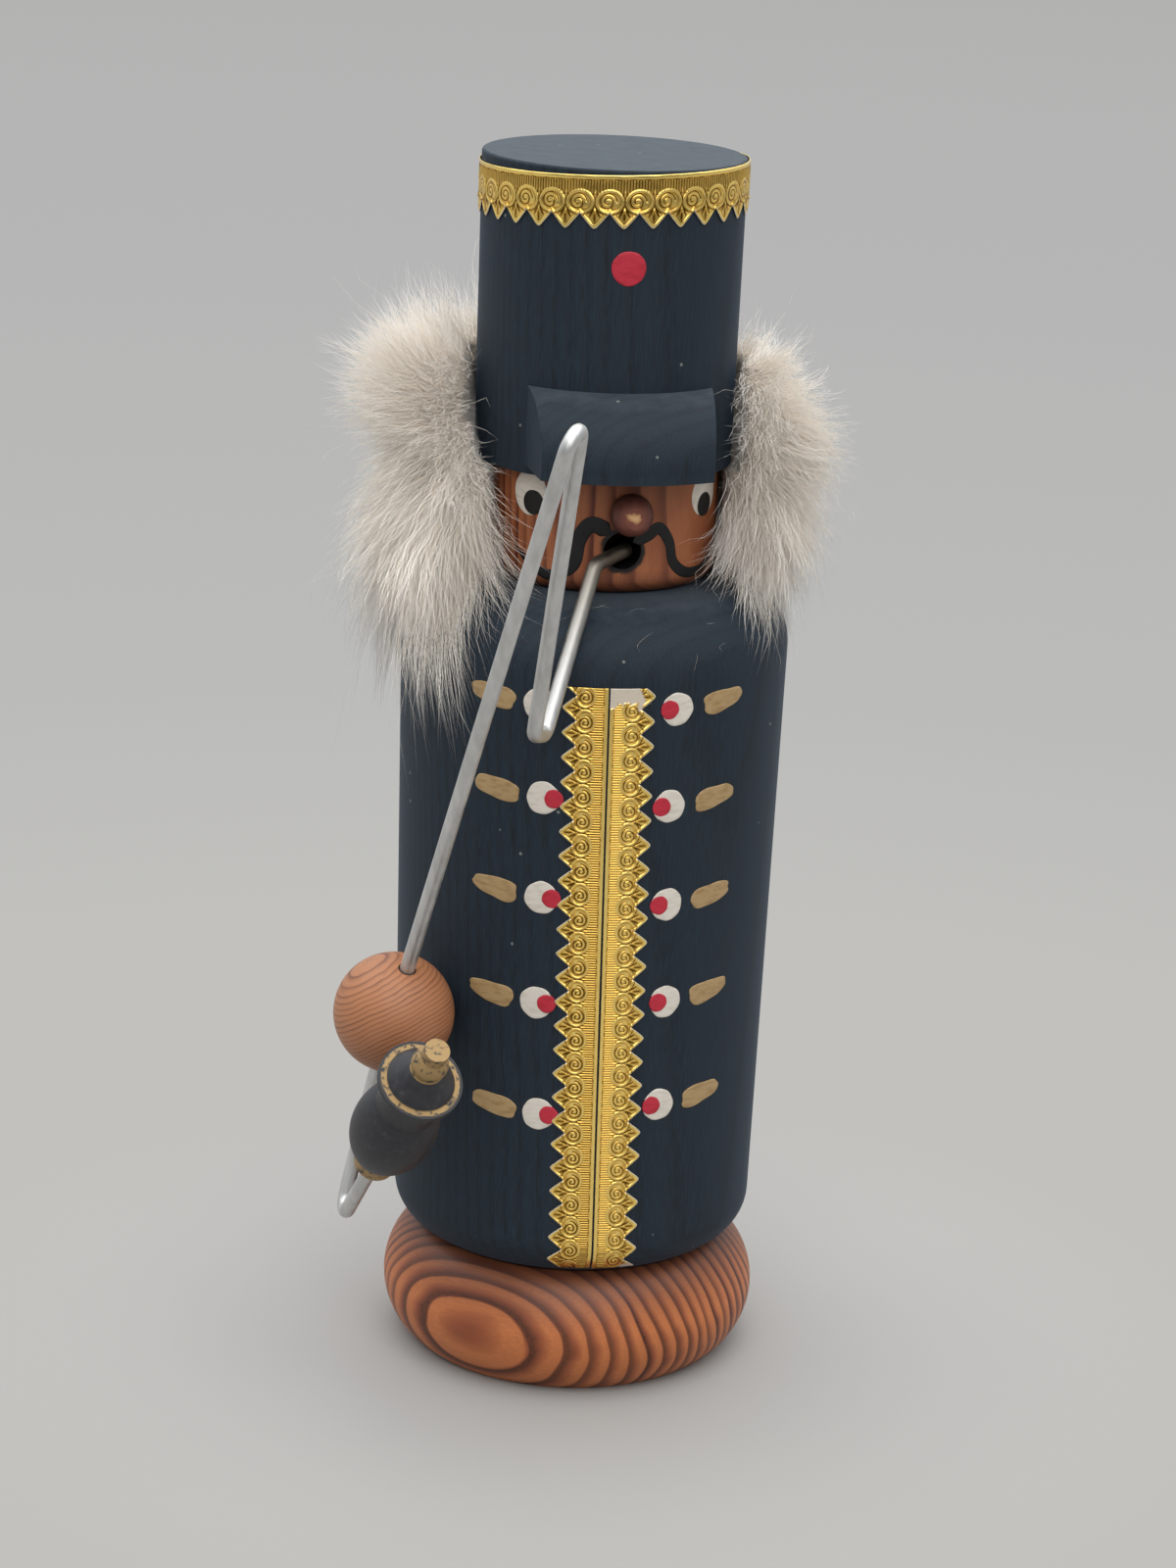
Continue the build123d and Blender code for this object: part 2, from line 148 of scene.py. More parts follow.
def veil(tree, value, reach, shares, under, code):
    """Lay a colour over another; its share runs between two numbers while a value runs through its reach."""
    share = add(tree, "MapRange", {0: value, 1: reach[0], 2: reach[1], 3: shares[0], 4: shares[1]})
    return add(tree, "Mix", {0: share, 6: under, 7: linear(code)}, data_type="RGBA")


# %% [markdown]
# ## Studio
# The figure stands on a pale sheet under one very wide panel, as in a light tent, with a weak panel in front.
# The shadow is then soft and close to the base. The room behind the camera is dim, and the front end of the sheet
# is darkened in its colour as painted shade. Metal needs that: foil shows its relief because it mirrors pale
# paper and dark room side by side. Far from the figure the camera sees an even grey, as of a sheet that is lit
# along its whole length.

# %% Floor
floor_radius = 6.0
front_shade_reach = (-0.27, -0.5)  # Y in metres, before the figure, where the paper turns dim
shadow_room = (0.042, 0.125)  # metres from the axis, where the real shadow gives way to even grey
grey_reach = (0.2, 3.0)
bpy.ops.mesh.primitive_circle_add(vertices=96, radius=floor_radius, fill_type="NGON")
floor = bpy.context.object
floor.name = "floor_sheet"
# Paper is matte: it takes a soft shadow and shows no glare
paper, tree, shader = finish("pale paper sheet", {"Roughness": 0.9, "Specular IOR Level": 0.2})
spot = add(tree, "TexCoord").outputs["Object"]
backward = add(tree, "SeparateXYZ", {0: spot}).outputs["Y"]
# Painted shade: the paper's colour darkens towards its front end, standing in for shade there
plug(shader, {"Base Color": veil(tree, backward, front_shade_reach, (0.0, 1.0), linear("#9b9996"), "#524e49")})
far = add(tree, "VectorMath", {0: spot}, operation="LENGTH")
share = add(tree, "MapRange", {0: far, 1: shadow_room[0], 2: shadow_room[1]}, interpolation_type="SMOOTHSTEP")
seen = add(tree, "LightPath").outputs["Is Camera Ray"]
mask = add(tree, "Math", {0: share, 1: seen}, operation="MULTIPLY")
greys = [(0.0, "#c2c1be"), (0.08, "#bbbbb9"), (0.3, "#b6b6b6"), (1.0, "#b1b1b0")]
grey_share = add(tree, "MapRange", {0: far, 1: grey_reach[0], 2: grey_reach[1]})
glow = add(tree, "Emission", {"Color": add(tree, "ValToRGB", {0: grey_share}, greys)})
plug(tree.nodes["Material Output"], {"Surface": add(tree, "MixShader", {0: mask, 1: shader, 2: glow})})
floor.data.materials.append(paper)
print("floor sheet of", floor_radius, "m radius")

# %% Lamps
lamp_aim = Vector((0, 0, 0.1))
for lamp_name, place, size, watts in (
    ("overhead_panel", (-0.05, 0.1, 1.35), 3.0, 47.0),
    ("front_panel", (0.05, -1.3, 1.1), 1.6, 14.0),
):
    bpy.ops.object.light_add(type="AREA", location=place)
    lamp = bpy.context.object
    lamp.name = lamp_name
    lamp.data.size = size
    lamp.data.energy = watts
    lamp.rotation_euler = (lamp_aim - Vector(place)).to_track_quat("-Z", "Y").to_euler()
    print(lamp_name, size, "m wide,", watts, "W")

# %% Sky
sky = bpy.data.worlds.new("studio_sky")
scene.world = sky
sky.use_nodes = True
tree = sky.node_tree
light = tree.nodes["Background"]
backward = add(tree, "SeparateXYZ", {0: add(tree, "TexCoord").outputs["Generated"]}).outputs["Y"]
level = add(tree, "MapRange", {0: backward, 1: -0.7, 2: 0.3, 3: 0.5, 4: 0.9})
plug(light, {"Color": linear("#e9edf2"), "Strength": level})
even = add(tree, "Background", {"Color": linear("#b4b4b5"), "Strength": 1.0})
seen = add(tree, "LightPath").outputs["Is Camera Ray"]
plug(tree.nodes["World Output"], {"Surface": add(tree, "MixShader", {0: seen, 1: light, 2: even})})
scene.view_settings.view_transform = "Standard"
bpy.ops.object.select_all(action="DESELECT")
print("sky of", len(tree.nodes), "nodes, view", scene.view_settings.view_transform)

# %% [markdown]
# ## Softwood
# Base and head are larch, the bead is pine. A softwood's look comes from its growth rings: pale early wood
# that darkens slowly to a dark line and then jumps back to pale. A painted picture could show that, but a
# solid pattern is truer: rings are cylinders round the pith, and the turned surface cuts through them,
# which gives ovals where it runs along a ring and stripes where it crosses them.


# %% Growth rings
def facing(angle):
    """Level unit vector at an angle in degrees from the front, positive towards +X."""
    return Vector((math.sin(math.radians(angle)), -math.cos(math.radians(angle)), 0))


def about_axis(tree, point, axis, unit):
    """A pattern's own frame, with Z along an axis, in units; gives the frame and the distance from the axis."""
    seat = {
        "Vector": add(tree, "TexCoord").outputs["Object"],
        "Location": point,
        "Rotation": Vector(axis).to_track_quat("Z", "Y").to_euler(),
        "Scale": (unit, unit, unit),
    }
    own = add(tree, "Mapping", seat, vector_type="TEXTURE")
    flat = add(tree, "VectorMath", {0: own, 1: (1.0, 1.0, 0.0)}, operation="MULTIPLY")
    return own, add(tree, "VectorMath", {0: flat}, operation="LENGTH")


def growth_rings(tree, pith_point, pith_axis, ring_mm, wander):
    """Rings round a pith line; gives the place within a ring (0 to 1), the ring's number and the grain."""
    grain, radius = about_axis(tree, pith_point, pith_axis, ring_mm * MM)
    slow = add(tree, "VectorMath", {0: grain, 1: (1.0, 1.0, 0.3)}, operation="MULTIPLY")
    drift = add(tree, "TexNoise", {"Vector": slow, "Scale": 0.11, "Detail": 2.0})
    ring = add(tree, "Math", {0: drift, 1: wander, 2: radius}, operation="MULTIPLY_ADD")
    ring_place = add(tree, "Math", {0: ring}, operation="FRACT")
    number = add(tree, "Math", {0: ring}, operation="FLOOR")
    return ring_place, number, grain


# %% Softwood finish
def softwood(name, pith_point, pith_axis, ring_mm, wander, colours, gloss, thinning=(1.35, 0.5), faintest=0.55):
    """Softwood in early, middle, late and streak colours; less thinning means broader late wood."""
    early, middle, late, streak = colours
    shine = {"IOR": 1.5, "Specular IOR Level": 0.3, "Coat Weight": gloss, "Coat Roughness": 0.3}
    material, tree, shader = finish(name, shine)
    ring_place, number, grain = growth_rings(tree, pith_point, pith_axis, ring_mm, wander)
    patch_place = add(tree, "VectorMath", {0: grain, 1: (0.3, 0.3, 0.12)}, operation="MULTIPLY")
    patch = add(tree, "TexNoise", {"Vector": patch_place, "Scale": 1.0, "Detail": 2.0})
    thinner = add(tree, "MapRange", {0: patch, 1: 0.3, 2: 0.7, 3: thinning[0], 4: thinning[1]})
    broad = add(tree, "Math", {0: ring_place, 1: thinner}, operation="POWER")
    stops = [(0.0, middle), (0.07, early), (0.42, early), (0.7, middle), (0.86, late), (0.96, late), (1.0, middle)]
    bands = add(tree, "ValToRGB", {0: broad}, stops)
    strength = add(tree, "TexWhiteNoise", {"W": number}, noise_dimensions="1D")
    shown = add(tree, "MapRange", {0: strength, 3: faintest, 4: 1.0})
    ringed = add(tree, "Mix", {0: shown, 6: linear(early), 7: bands}, data_type="RGBA")
    along = add(tree, "VectorMath", {0: grain, 1: (9.0, 9.0, 0.5)}, operation="MULTIPLY")
    fibre = add(tree, "TexNoise", {"Vector": along, "Scale": 1.0, "Detail": 3.0})
    colour = veil(tree, fibre, (0.42, 0.75), (0.0, 0.4), ringed, streak)
    height = add(tree, "Math", {0: ring_place, 1: fibre}, operation="ADD")
    bump = add(tree, "Bump", {"Height": height, "Strength": 0.25, "Distance": 0.05 * MM})
    rough = add(tree, "MapRange", {0: fibre, 3: 0.42, 4: 0.62})
    plug(shader, {"Base Color": colour, "Roughness": rough, "Normal": bump})
    return material, tree, shader, colour


# %% Finish on a CAD node
def dress(node_name, material):
    """Give a CAD node its finish in every slot."""
    slots = nodes[node_name].data.materials
    slots.clear()
    slots.append(material)
    print(node_name, "wears", material.name)


# %% Base of oiled larch
# Oil makes larch a deep orange with near-black lines and a low gloss; under the coat's hem it darkens, partly with
# grime and partly with painted shade from the coat
grime_and_shade_heights = (12.0 * MM, 20.0 * MM)
base_face = facing(-37.0)
base_wood, tree, shader, colour = softwood(
    "oiled larch, turned",
    base_face * -39.0 * MM + upright * 22.0 * MM,
    base_face.cross(upright),
    ring_mm=2.35,
    wander=2.2,
    colours=("#b56c3f", "#7d3f28", "#2a0e0b", "#8a4828"),
    gloss=0.12,
    thinning=(1.3, 0.48),
    faintest=0.68,
)
height = add(tree, "SeparateXYZ", {0: add(tree, "TexCoord").outputs["Object"]}).outputs["Z"]
# Darker towards the top: grime, and painted shade where the coat overhangs the base
plug(shader, {"Base Color": veil(tree, height, grime_and_shade_heights, (0.0, 0.75), colour, "#341a14")})
dress("base_foot", base_wood)

# %% Bead of waxed pine
# Slow-grown pine has fine even rings and little contrast, and wax leaves it almost matte
bead_low, bead_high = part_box("stem_bead")
bead_centre = (bead_low + bead_high) / 2
bead_pole = camera_axes.to_3x3() @ Vector((-0.42, 0.84, 0.34))
bead_wood, _, _, _ = softwood(
    "waxed pine, turned",
    bead_centre - bead_pole * 25.72 * MM,
    bead_pole.cross(upright),
    ring_mm=0.7,
    wander=1.6,
    colours=("#a6704d", "#956241", "#6f432e", "#8d5b3e"),
    gloss=0.12,
)
dress("stem_bead", bead_wood)

# %% [markdown]
# ## Face, mouth and nose
# The head is the same larch with its grain upright. The mouth is painted black in the hole and a little
# way round it. A disc of paint could be modelled, but the hole cuts through it, so a mask by distance from
# the mouth's axis does that without any new surface. The nose is a stained peg, rubbed bare at its tip.

# %% Head
joints = {joint["name"]: joint for joint in frame["joints"]}
mouth_point = Vector(joints["pipe_swing"]["pos_m"])
mouth_axis = Vector(joints["pipe_swing"]["axis"])
coat_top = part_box("coat_body")[1].z
jaw_heights = (coat_top, coat_top + 4.0 * MM)
mouth_edge = (4.0, 4.5)  # mm from the mouth's axis, where the black paint ends
# Upright grain gives the face brown stripes, and the wood is darker along the jaw, just above the coat
face_wood, tree, shader, colour = softwood(
    "oiled larch, upright grain",
    facing(60.0) * -30.0 * MM,
    (0.02, 0.03, 1.0),
    ring_mm=1.7,
    wander=1.6,
    colours=("#9c5e3b", "#81462b", "#481b11", "#6a3320"),
    gloss=0.2,
)
height = add(tree, "SeparateXYZ", {0: add(tree, "TexCoord").outputs["Object"]}).outputs["Z"]
colour = veil(tree, height, jaw_heights, (0.85, 0.0), colour, "#3a211a")
mouth_frame, far = about_axis(tree, mouth_point, mouth_axis, MM)
ragged = add(tree, "TexNoise", {"Vector": mouth_frame, "Scale": 0.5, "Detail": 2.0})
out = add(tree, "Math", {0: ragged, 1: 1.2, 2: far}, operation="MULTIPLY_ADD")
plug(shader, {"Base Color": veil(tree, out, mouth_edge, (1.0, 0.0), colour, "#14110f")})
dress("head", face_wood)

# %% Nose
nose_low, nose_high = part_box("nose")
nose_tip = Vector(((nose_low.x + nose_high.x) / 2, nose_low.y, (nose_low.z + nose_high.z) / 2))
# A stained peg is dark mulberry with a soft gloss, and pale end grain shows where the stain is rubbed off
nose_stain, tree, shader = finish("mulberry stained peg", {"Roughness": 0.5, "Specular IOR Level": 0.35})
seat = {"Vector": add(tree, "TexCoord").outputs["Object"], "Location": nose_tip, "Scale": (MM, MM, MM)}
tip_frame = add(tree, "Mapping", seat, vector_type="TEXTURE")
far = add(tree, "VectorMath", {0: tip_frame}, operation="LENGTH")
wear = add(tree, "TexNoise", {"Vector": tip_frame, "Scale": 0.8, "Detail": 3.0})
out = add(tree, "Math", {0: wear, 1: 3.0, 2: far}, operation="MULTIPLY_ADD")
share = add(tree, "MapRange", {0: out, 1: 1.6, 2: 5.4})
tones = [(0.0, "#d0a878"), (0.16, "#bd8e60"), (0.27, "#7a4638"), (1.0, "#4c2a24")]
plug(shader, {"Base Color": add(tree, "ValToRGB", {0: share}, tones)})
dress("nose", nose_stain)

# %% [markdown]
# ## Blue-black stain
# Coat, hat and visor are stained, not painted, so the upright grain still shows as faint streaks of blue and
# brown. Paint would be one colour with a bump. Stain is the growth rings again in a few near-black tones.
# The finish is matte. Dust lies on what faces up, such as the hat's top and the visor, together with painted sheen.

# %% Stained grain
# Raised fibres give stained wood a faint cool bloom along its edges, and no gloss
bloom = {"Sheen Weight": 0.07, "Sheen Roughness": 0.35, "Sheen Tint": linear("#93b2d6")}
stain, tree, shader = finish("blue-black stained softwood", {"IOR": 1.45, "Specular IOR Level": 0.3, **bloom})
pith = facing(40.0) * -45.0 * MM
ring_place, _, grain = growth_rings(tree, pith, (0.01, 0.02, 1.0), ring_mm=1.7, wander=1.5)
tones = [(0.0, "#151c24"), (0.3, "#17212a"), (0.7, "#192027"), (0.92, "#13191f"), (1.0, "#151c24")]
streaks = add(tree, "ValToRGB", {0: ring_place}, tones)
along = add(tree, "VectorMath", {0: grain, 1: (11.0, 11.0, 0.4)}, operation="MULTIPLY")
fibre = add(tree, "TexNoise", {"Vector": along, "Scale": 1.0, "Detail": 4.0})
colour = veil(tree, fibre, (0.4, 0.72), (0.0, 0.7), streaks, "#22313d")
rough = add(tree, "MapRange", {0: fibre, 3: 0.55, 4: 0.8})
bump = add(tree, "Bump", {"Height": fibre, "Strength": 0.3, "Distance": 0.06 * MM})
plug(shader, {"Roughness": rough, "Normal": bump})

# %% Dust, painted sheen and specks
dust_and_sheen_per_mm = 0.35
specks_per_mm = 0.16
place = add(tree, "TexCoord")
spot = place.outputs["Object"]
upward = add(tree, "SeparateXYZ", {0: place.outputs["Normal"]}).outputs["Z"]
dust_and_sheen_noise = add(tree, "TexNoise", {"Vector": spot, "Scale": dust_and_sheen_per_mm / MM, "Detail": 5.0})
# Upward faces turn pale grey: real dust, and painted sheen for the light they catch from above
dust_and_sheen = add(tree, "Math", {0: dust_and_sheen_noise, 1: 0.3, 2: upward}, operation="MULTIPLY_ADD")
colour = veil(tree, dust_and_sheen, (0.95, 1.3), (0.0, 0.4), colour, "#5f666b")
speck = add(tree, "TexVoronoi", {"Vector": spot, "Scale": specks_per_mm / MM})
plug(shader, {"Base Color": veil(tree, speck, (0.03, 0.05), (0.75, 0.0), colour, "#7d807c")})
for stained in ("coat_body", "hat", "visor"):
    dress(stained, stain)

# %% [markdown]
# ## Metals of the pipe and the dish
# The pipe is drawn aluminium wire, dull, scratched along its length and browned near the mouth, partly by smoke and
# partly as painted shade that dims its reflections.
# Inside stand a pressed tin dish and a brass nail, which show when the figure is lifted off. All three are
# bare metal, so one recipe serves: a noise, stretched where the metal was drawn, moves colour and roughness.

# %% One recipe for streaks
def streaked(name, constants, per_mm, detail, tones, reach, rough):
    """A finish whose colour and roughness follow one noise, of so many grains to a mm along X, Y and Z."""
    material, tree, shader = finish(name, constants)
    spot = add(tree, "TexCoord").outputs["Object"]
    drawn = add(tree, "Mapping", {"Vector": spot, "Scale": [grains / MM for grains in per_mm]})
    streak = add(tree, "TexNoise", {"Vector": drawn, "Scale": 1.0, "Detail": detail})
    colour = add(tree, "ValToRGB", {0: streak}, tones)
    roughness = add(tree, "MapRange", {0: streak, 1: reach[0], 2: reach[1], 3: rough[0], 4: rough[1]})
    plug(shader, {"Base Color": colour, "Roughness": roughness})
    return material, tree, shader, streak, colour


# %% Wire, tin and brass
# Drawn aluminium gives a pale satin grey, tinplate a mottled grey shine, and old brass a brown gold
bare_metal = {"Metallic": 1.0}
wire_tones = [(0.3, "#b9b9b7"), (0.7, "#d2d2d0")]
tin_tones = [(0.35, "#8c8a85"), (0.65, "#b9b7b1")]
brass_tones = [(0.35, "#8a6a33"), (0.65, "#c9a256")]
tar_and_shade_reach = (4.0 * MM, 34.0 * MM)
wire, tree, shader, _, colour = streaked(
    "drawn aluminium wire", bare_metal, (0.7, 0.7, 0.06), 4.0, wire_tones, (0.3, 0.7), (0.42, 0.52)
)
# Browned towards the mouth: a smoke stain, and painted shade that dims the short leg's bright reflections
spot = add(tree, "TexCoord").outputs["Object"]
far = add(tree, "VectorMath", {0: spot, 1: mouth_point}, operation="DISTANCE")
plug(shader, {"Base Color": veil(tree, far, tar_and_shade_reach, (0.95, 0.0), colour, "#685f50")})
dress("pipe_stem", wire)
tin, *_ = streaked("pressed tinplate", bare_metal, (0.4, 0.4, 0.4), 4.0, tin_tones, (0.0, 1.0), (0.3, 0.55))
dress("incense_plate", tin)
brass, *_ = streaked("tarnished brass", bare_metal, (1.1, 1.1, 1.1), 3.0, brass_tones, (0.0, 1.0), (0.25, 0.5))
dress("plate_nail", brass)

# %% [markdown]
# ## Painted bowl
# The bowl is painted matte black with gold on its collar, round the top of its rim and on its finial, and
# the gold is worn. Gold rings could be pieces of their own, but paint has no edge to speak of. The mask works
# in the bowl's own frame: how far a point lies along the turned axis, and how far from it.

# %% The bowl's own frame
bowl_direction = Vector((0.188, -0.647, 0.739)).normalized()
bowl_length = 38.0
end_depth = 0.02 * MM
bowl_points = np.array([vertex.co for vertex in nodes["pipe_bowl"].data.vertices])
bowl_reach = bowl_points @ np.array(bowl_direction)
bowl_end = Vector(bowl_points[bowl_reach > bowl_reach.max() - end_depth].mean(axis=0))
bowl_seat = bowl_end - bowl_direction * bowl_length * MM
print("bowl seat in mm:", [round(value / MM, 1) for value in bowl_seat])

# %% Black and worn gold
# Matte black paint shows grey scuffs, and bronze gold on wood is half metal and half dust
gold_places = ((0.0, 1), (2.2, 0), (27.95, 1), (28.3, 0), (31.8, 1), (38.0, 1))  # mm up the axis, gold or not
bowl_paint, tree, shader = finish("black painted wood with worn gold", {"Specular IOR Level": 0.4})
bowl_frame, far = about_axis(tree, bowl_seat, bowl_direction, MM)
up_axis = add(tree, "SeparateXYZ", {0: bowl_frame}).outputs["Z"]
share = add(tree, "MapRange", {0: up_axis, 1: 0.0, 2: bowl_length})
stops = [(place / bowl_length, "#ffffff" if gilt else "#000000") for place, gilt in gold_places]
rings = add(tree, "ValToRGB", {0: share}, stops)
rings.color_ramp.interpolation = "CONSTANT"
noise = add(tree, "TexNoise", {"Vector": bowl_frame, "Scale": 0.9, "Detail": 4.0})
shaken = add(tree, "Math", {0: noise, 1: 0.8, 2: far}, operation="MULTIPLY_ADD")
rim = add(tree, "MapRange", {0: shaken, 1: 6.6, 2: 6.7, 3: 1.0, 4: 0.0})
kept = add(tree, "Math", {0: rings, 1: rim}, operation="MULTIPLY")
worn = add(tree, "MapRange", {0: noise, 1: 0.34, 2: 0.48})
gold = add(tree, "Math", {0: kept, 1: worn}, operation="MULTIPLY")
scuff = add(tree, "ValToRGB", {0: noise}, [(0.3, "#202023"), (0.6, "#2a2a2e"), (0.85, "#434246")])
colour = add(tree, "Mix", {0: gold, 6: scuff, 7: linear("#9a7f55")}, data_type="RGBA")
metallic = add(tree, "Math", {0: gold, 1: 0.4}, operation="MULTIPLY")
rough = add(tree, "MapRange", {0: noise, 3: 0.38, 4: 0.62})
plug(shader, {"Base Color": colour, "Metallic": metallic, "Roughness": rough})
dress("pipe_bowl", bowl_paint)

# %% [markdown]
# ## Wrapping work round a turned form
# Foil and paint follow the turned surface. A bend modifier could wrap them, but the coat tapers and rounds
# off, so each point is placed by its distance across, its height and its lift off the wood, and the wood's
# radius at that height is measured on the CAD node with rays.


# %% Radius of a turned form
def turned_radius(node_name, angle=100.0, steps=600, margin=0.02 * MM, away=0.2):
    """The outside radius of a turned node as a function of height, measured at one angle."""
    low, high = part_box(node_name)
    heights = np.linspace(low.z + margin, high.z - margin, steps)
    outward = facing(angle)
    radii = []
    for height in heights:
        hit, point, _, _ = nodes[node_name].ray_cast(outward * away + upright * height, outward * -1)
        radii.append(math.hypot(point.x, point.y) if hit else 0.0)
    return lambda height: np.interp(height, heights, radii)


def place_on_turning(radius_at, across, height, lift):
    """Points at a distance across from the front, a height and a lift off a turned surface."""
    radius = radius_at(height)
    angle = across / radius
    return np.stack([np.sin(angle) * (radius + lift), -np.cos(angle) * (radius + lift), height], axis=1)


bpy.context.view_layer.update()
coat_radius, hat_radius, head_radius = (turned_radius(name) for name in ("coat_body", "hat", "head"))
print("coat radius at mid height, mm:", round(float(coat_radius(70 * MM)) / MM, 2))


# %% [markdown]
# ## Embossed foil trim
# The gold trim is paper faced with foil, pressed between dies: a plain edge, fine ribs, an oval scroll over
# each notch and a leaf in each tooth, with a thin pale line where the cut shows the paper. A bump map would
# go flat at the outline, so the relief is real geometry here: a fine grid whose height follows those motifs
# and whose edge follows the teeth.


# %% Soft lines and leaves
def ridge(distance, width):
    """A rounded line of unit height across its distance."""
    return np.exp(-((distance / width) ** 2))


def within(value, low, high, soft):
    """1 between two limits, falling softly to 0 outside."""
    below, above = (np.clip(past / soft, -300, 300) for past in (low - value, value - high))
    return 1 / ((1 + np.exp(below)) * (1 + np.exp(above)))


def tooth_side(step, tip_round=0.02):
    """How deep the notched edge is at a place along the trim: 0 at a tooth's rounded tip, 1 in a notch."""
    away = np.abs(step % 1.0 - 0.5) * 2
    return (np.sqrt(away**2 + tip_round) - 0.1414) / 0.8686


def leaf(tooth, rise, start, end, half):
    """A leaf from one place to another, as (across the tooth, rise), both ways from the tooth's middle."""
    tooth = np.abs(tooth)
    run = np.subtract(end, start)
    length = np.hypot(*run)
    run = run / length
    along = (tooth - start[0]) * run[0] + (rise - start[1]) * run[1]
    off = (tooth - start[0]) * -run[1] + (rise - start[1]) * run[0]
    swell = np.sqrt(np.clip(np.sin(np.clip(along / length, 0, 1) * math.pi), 0, 1)) * half + 0.02
    return ridge(off, swell) * within(along, 0.0, length, 0.06)


print("a tooth's edge from tip to notch:", np.round(tooth_side(np.array([0.5, 0.75, 1.0])), 2))

# %% Measures of the die
# All places in the die are in mm on a trim of this width, whose teeth stand at this pitch
die_width = 7.1
die_pitch = 4.07
ribs_per_tooth = 10
rib_rise = (0.6, 2.75)
oval_rise = 3.55
oval_half = (1.93, 1.62)
scroll_shift, scroll_start, scroll_growth, scroll_line = 0.3, 0.12, 0.09, 0.12
# Leaves run from one place to another, each across the tooth and up the trim, with half their breadth
side_shape = ((0.1, 4.1), (1.2, 5.35), 0.2)
drop_shape = ((0.0, 4.5), (0.0, 6.5), 0.36)
core_shape = ((0.0, 4.95), (0.0, 6.35), 0.2)
between_shape = ((0.12, 4.45), (0.78, 5.6), 0.17)
stalk_shape = ((0.0, 2.2), (0.0, 4.1), 0.1)


print("die", die_width, "mm wide with", ribs_per_tooth, "ribs to a tooth of", die_pitch, "mm")


# %% The die
def emboss(step, rise, width, depth):
    """Relief in mm, painted shade in the grooves (0 to 1) and distance from the cut edge, at a place in teeth and
    mm.
    """
    margin = (width - depth * tooth_side(step) - rise) * 0.72
    rise = rise / (width / die_width)
    tooth = (step % 1.0 - 0.5) * die_pitch
    notch = ((step + 0.5) % 1.0 - 0.5) * die_pitch
    up = rise - oval_rise
    oval = np.hypot(notch / oval_half[0], up / oval_half[1])
    out_oval = 1 - within(oval, -1.0, 1.04, 0.02)
    in_oval = within(oval, -1.0, 0.8, 0.03)
    rib_zone = within(rise, *rib_rise, 0.05) * out_oval
    ribs = 0.5 + 0.5 * np.cos(2 * math.pi * ribs_per_tooth * step)
    off = np.hypot(notch + scroll_shift, up) - scroll_start
    turn = np.arctan2(up, notch + scroll_shift) % (2 * math.pi)
    first_turn, second_turn = (ridge(off - scroll_growth * (turn + past), scroll_line) for past in (0, 2 * math.pi))
    scroll = np.maximum(first_turn, second_turn)
    shelf = within(up, -2.0, 0.75, 0.1) * in_oval
    side_leaf, drop, core, between, stalk = (
        leaf(tooth, rise, *shape) for shape in (side_shape, drop_shape, core_shape, between_shape, stalk_shape)
    )
    leaves = np.maximum(side_leaf, drop - 0.8 * core) * out_oval
    height = 0.12 * within(rise, -1.0, 0.5, 0.04)
    height = height + 0.13 * ribs * rib_zone + 0.2 * ridge(oval - 0.92, 0.08)
    height = height + 0.12 * shelf - 0.12 * in_oval * scroll + 0.2 * leaves + 0.12 * stalk
    height = height + 0.17 * ridge(margin - 0.26, 0.16)
    groove_shade_share = np.maximum.reduce(
        [
            (1 - ribs) ** 1.2 * rib_zone,
            0.75 * ridge(rise - 0.62, 0.07),
            in_oval * scroll,
            0.4 * in_oval * within(up, 0.75, 2.0, 0.12),
            0.5 * ridge(oval - 0.77, 0.06),
            0.95 * ridge(oval - 1.06, 0.05) * within(up, -1.2, 2.0, 0.1),
            0.95 * between * out_oval,
            0.8 * core * out_oval,
            0.5 * ridge(margin - 0.58, 0.1),
        ]
    )
    return height, np.clip(groove_shade_share, 0, 1), margin


# %% Points of a piece
def points_of(piece):
    """A piece's vertices as an array."""
    flat = np.empty(len(piece.data.vertices) * 3)
    piece.data.vertices.foreach_get("co", flat)
    return flat.reshape(-1, 3)


def move_points(piece, points):
    """Put a piece's vertices at new places."""
    piece.data.vertices.foreach_set("co", points.ravel())
    piece.data.update()


def share_along(piece, name, values):
    """Store one number per vertex for the piece's finish to read."""
    layer = piece.data.attributes.new(name, "FLOAT", "POINT")
    layer.data.foreach_set("value", np.asarray(values, dtype=float))


# %% Helpers that finish a piece
def close_shell(merge=0.0):
    """Merge the active piece's doubles where asked, turn its faces outwards and smooth it."""
    bpy.ops.object.mode_set(mode="EDIT")
    bpy.ops.mesh.select_all(action="SELECT")
    if merge:
        bpy.ops.mesh.remove_doubles(threshold=merge)
    bpy.ops.mesh.normals_make_consistent(inside=False)
    bpy.ops.object.mode_set(mode="OBJECT")
    bpy.ops.object.shade_smooth()


def settle(piece, material, slot, *replaced):
    """Give a piece its finish and let it ride on the figure, in place of a CAD node where one is named."""
    piece.data.materials.clear()
    piece.data.materials.append(material)
    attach(piece, "figure")
    if replaced:
        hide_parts(*replaced)
    bpy.ops.object.select_all(action="DESELECT")
    print(piece.name, len(piece.data.polygons), "faces")


# %% A strip from the die
foil_lift = 0.16
foil_paper = 0.1
same_point = 0.002 * MM


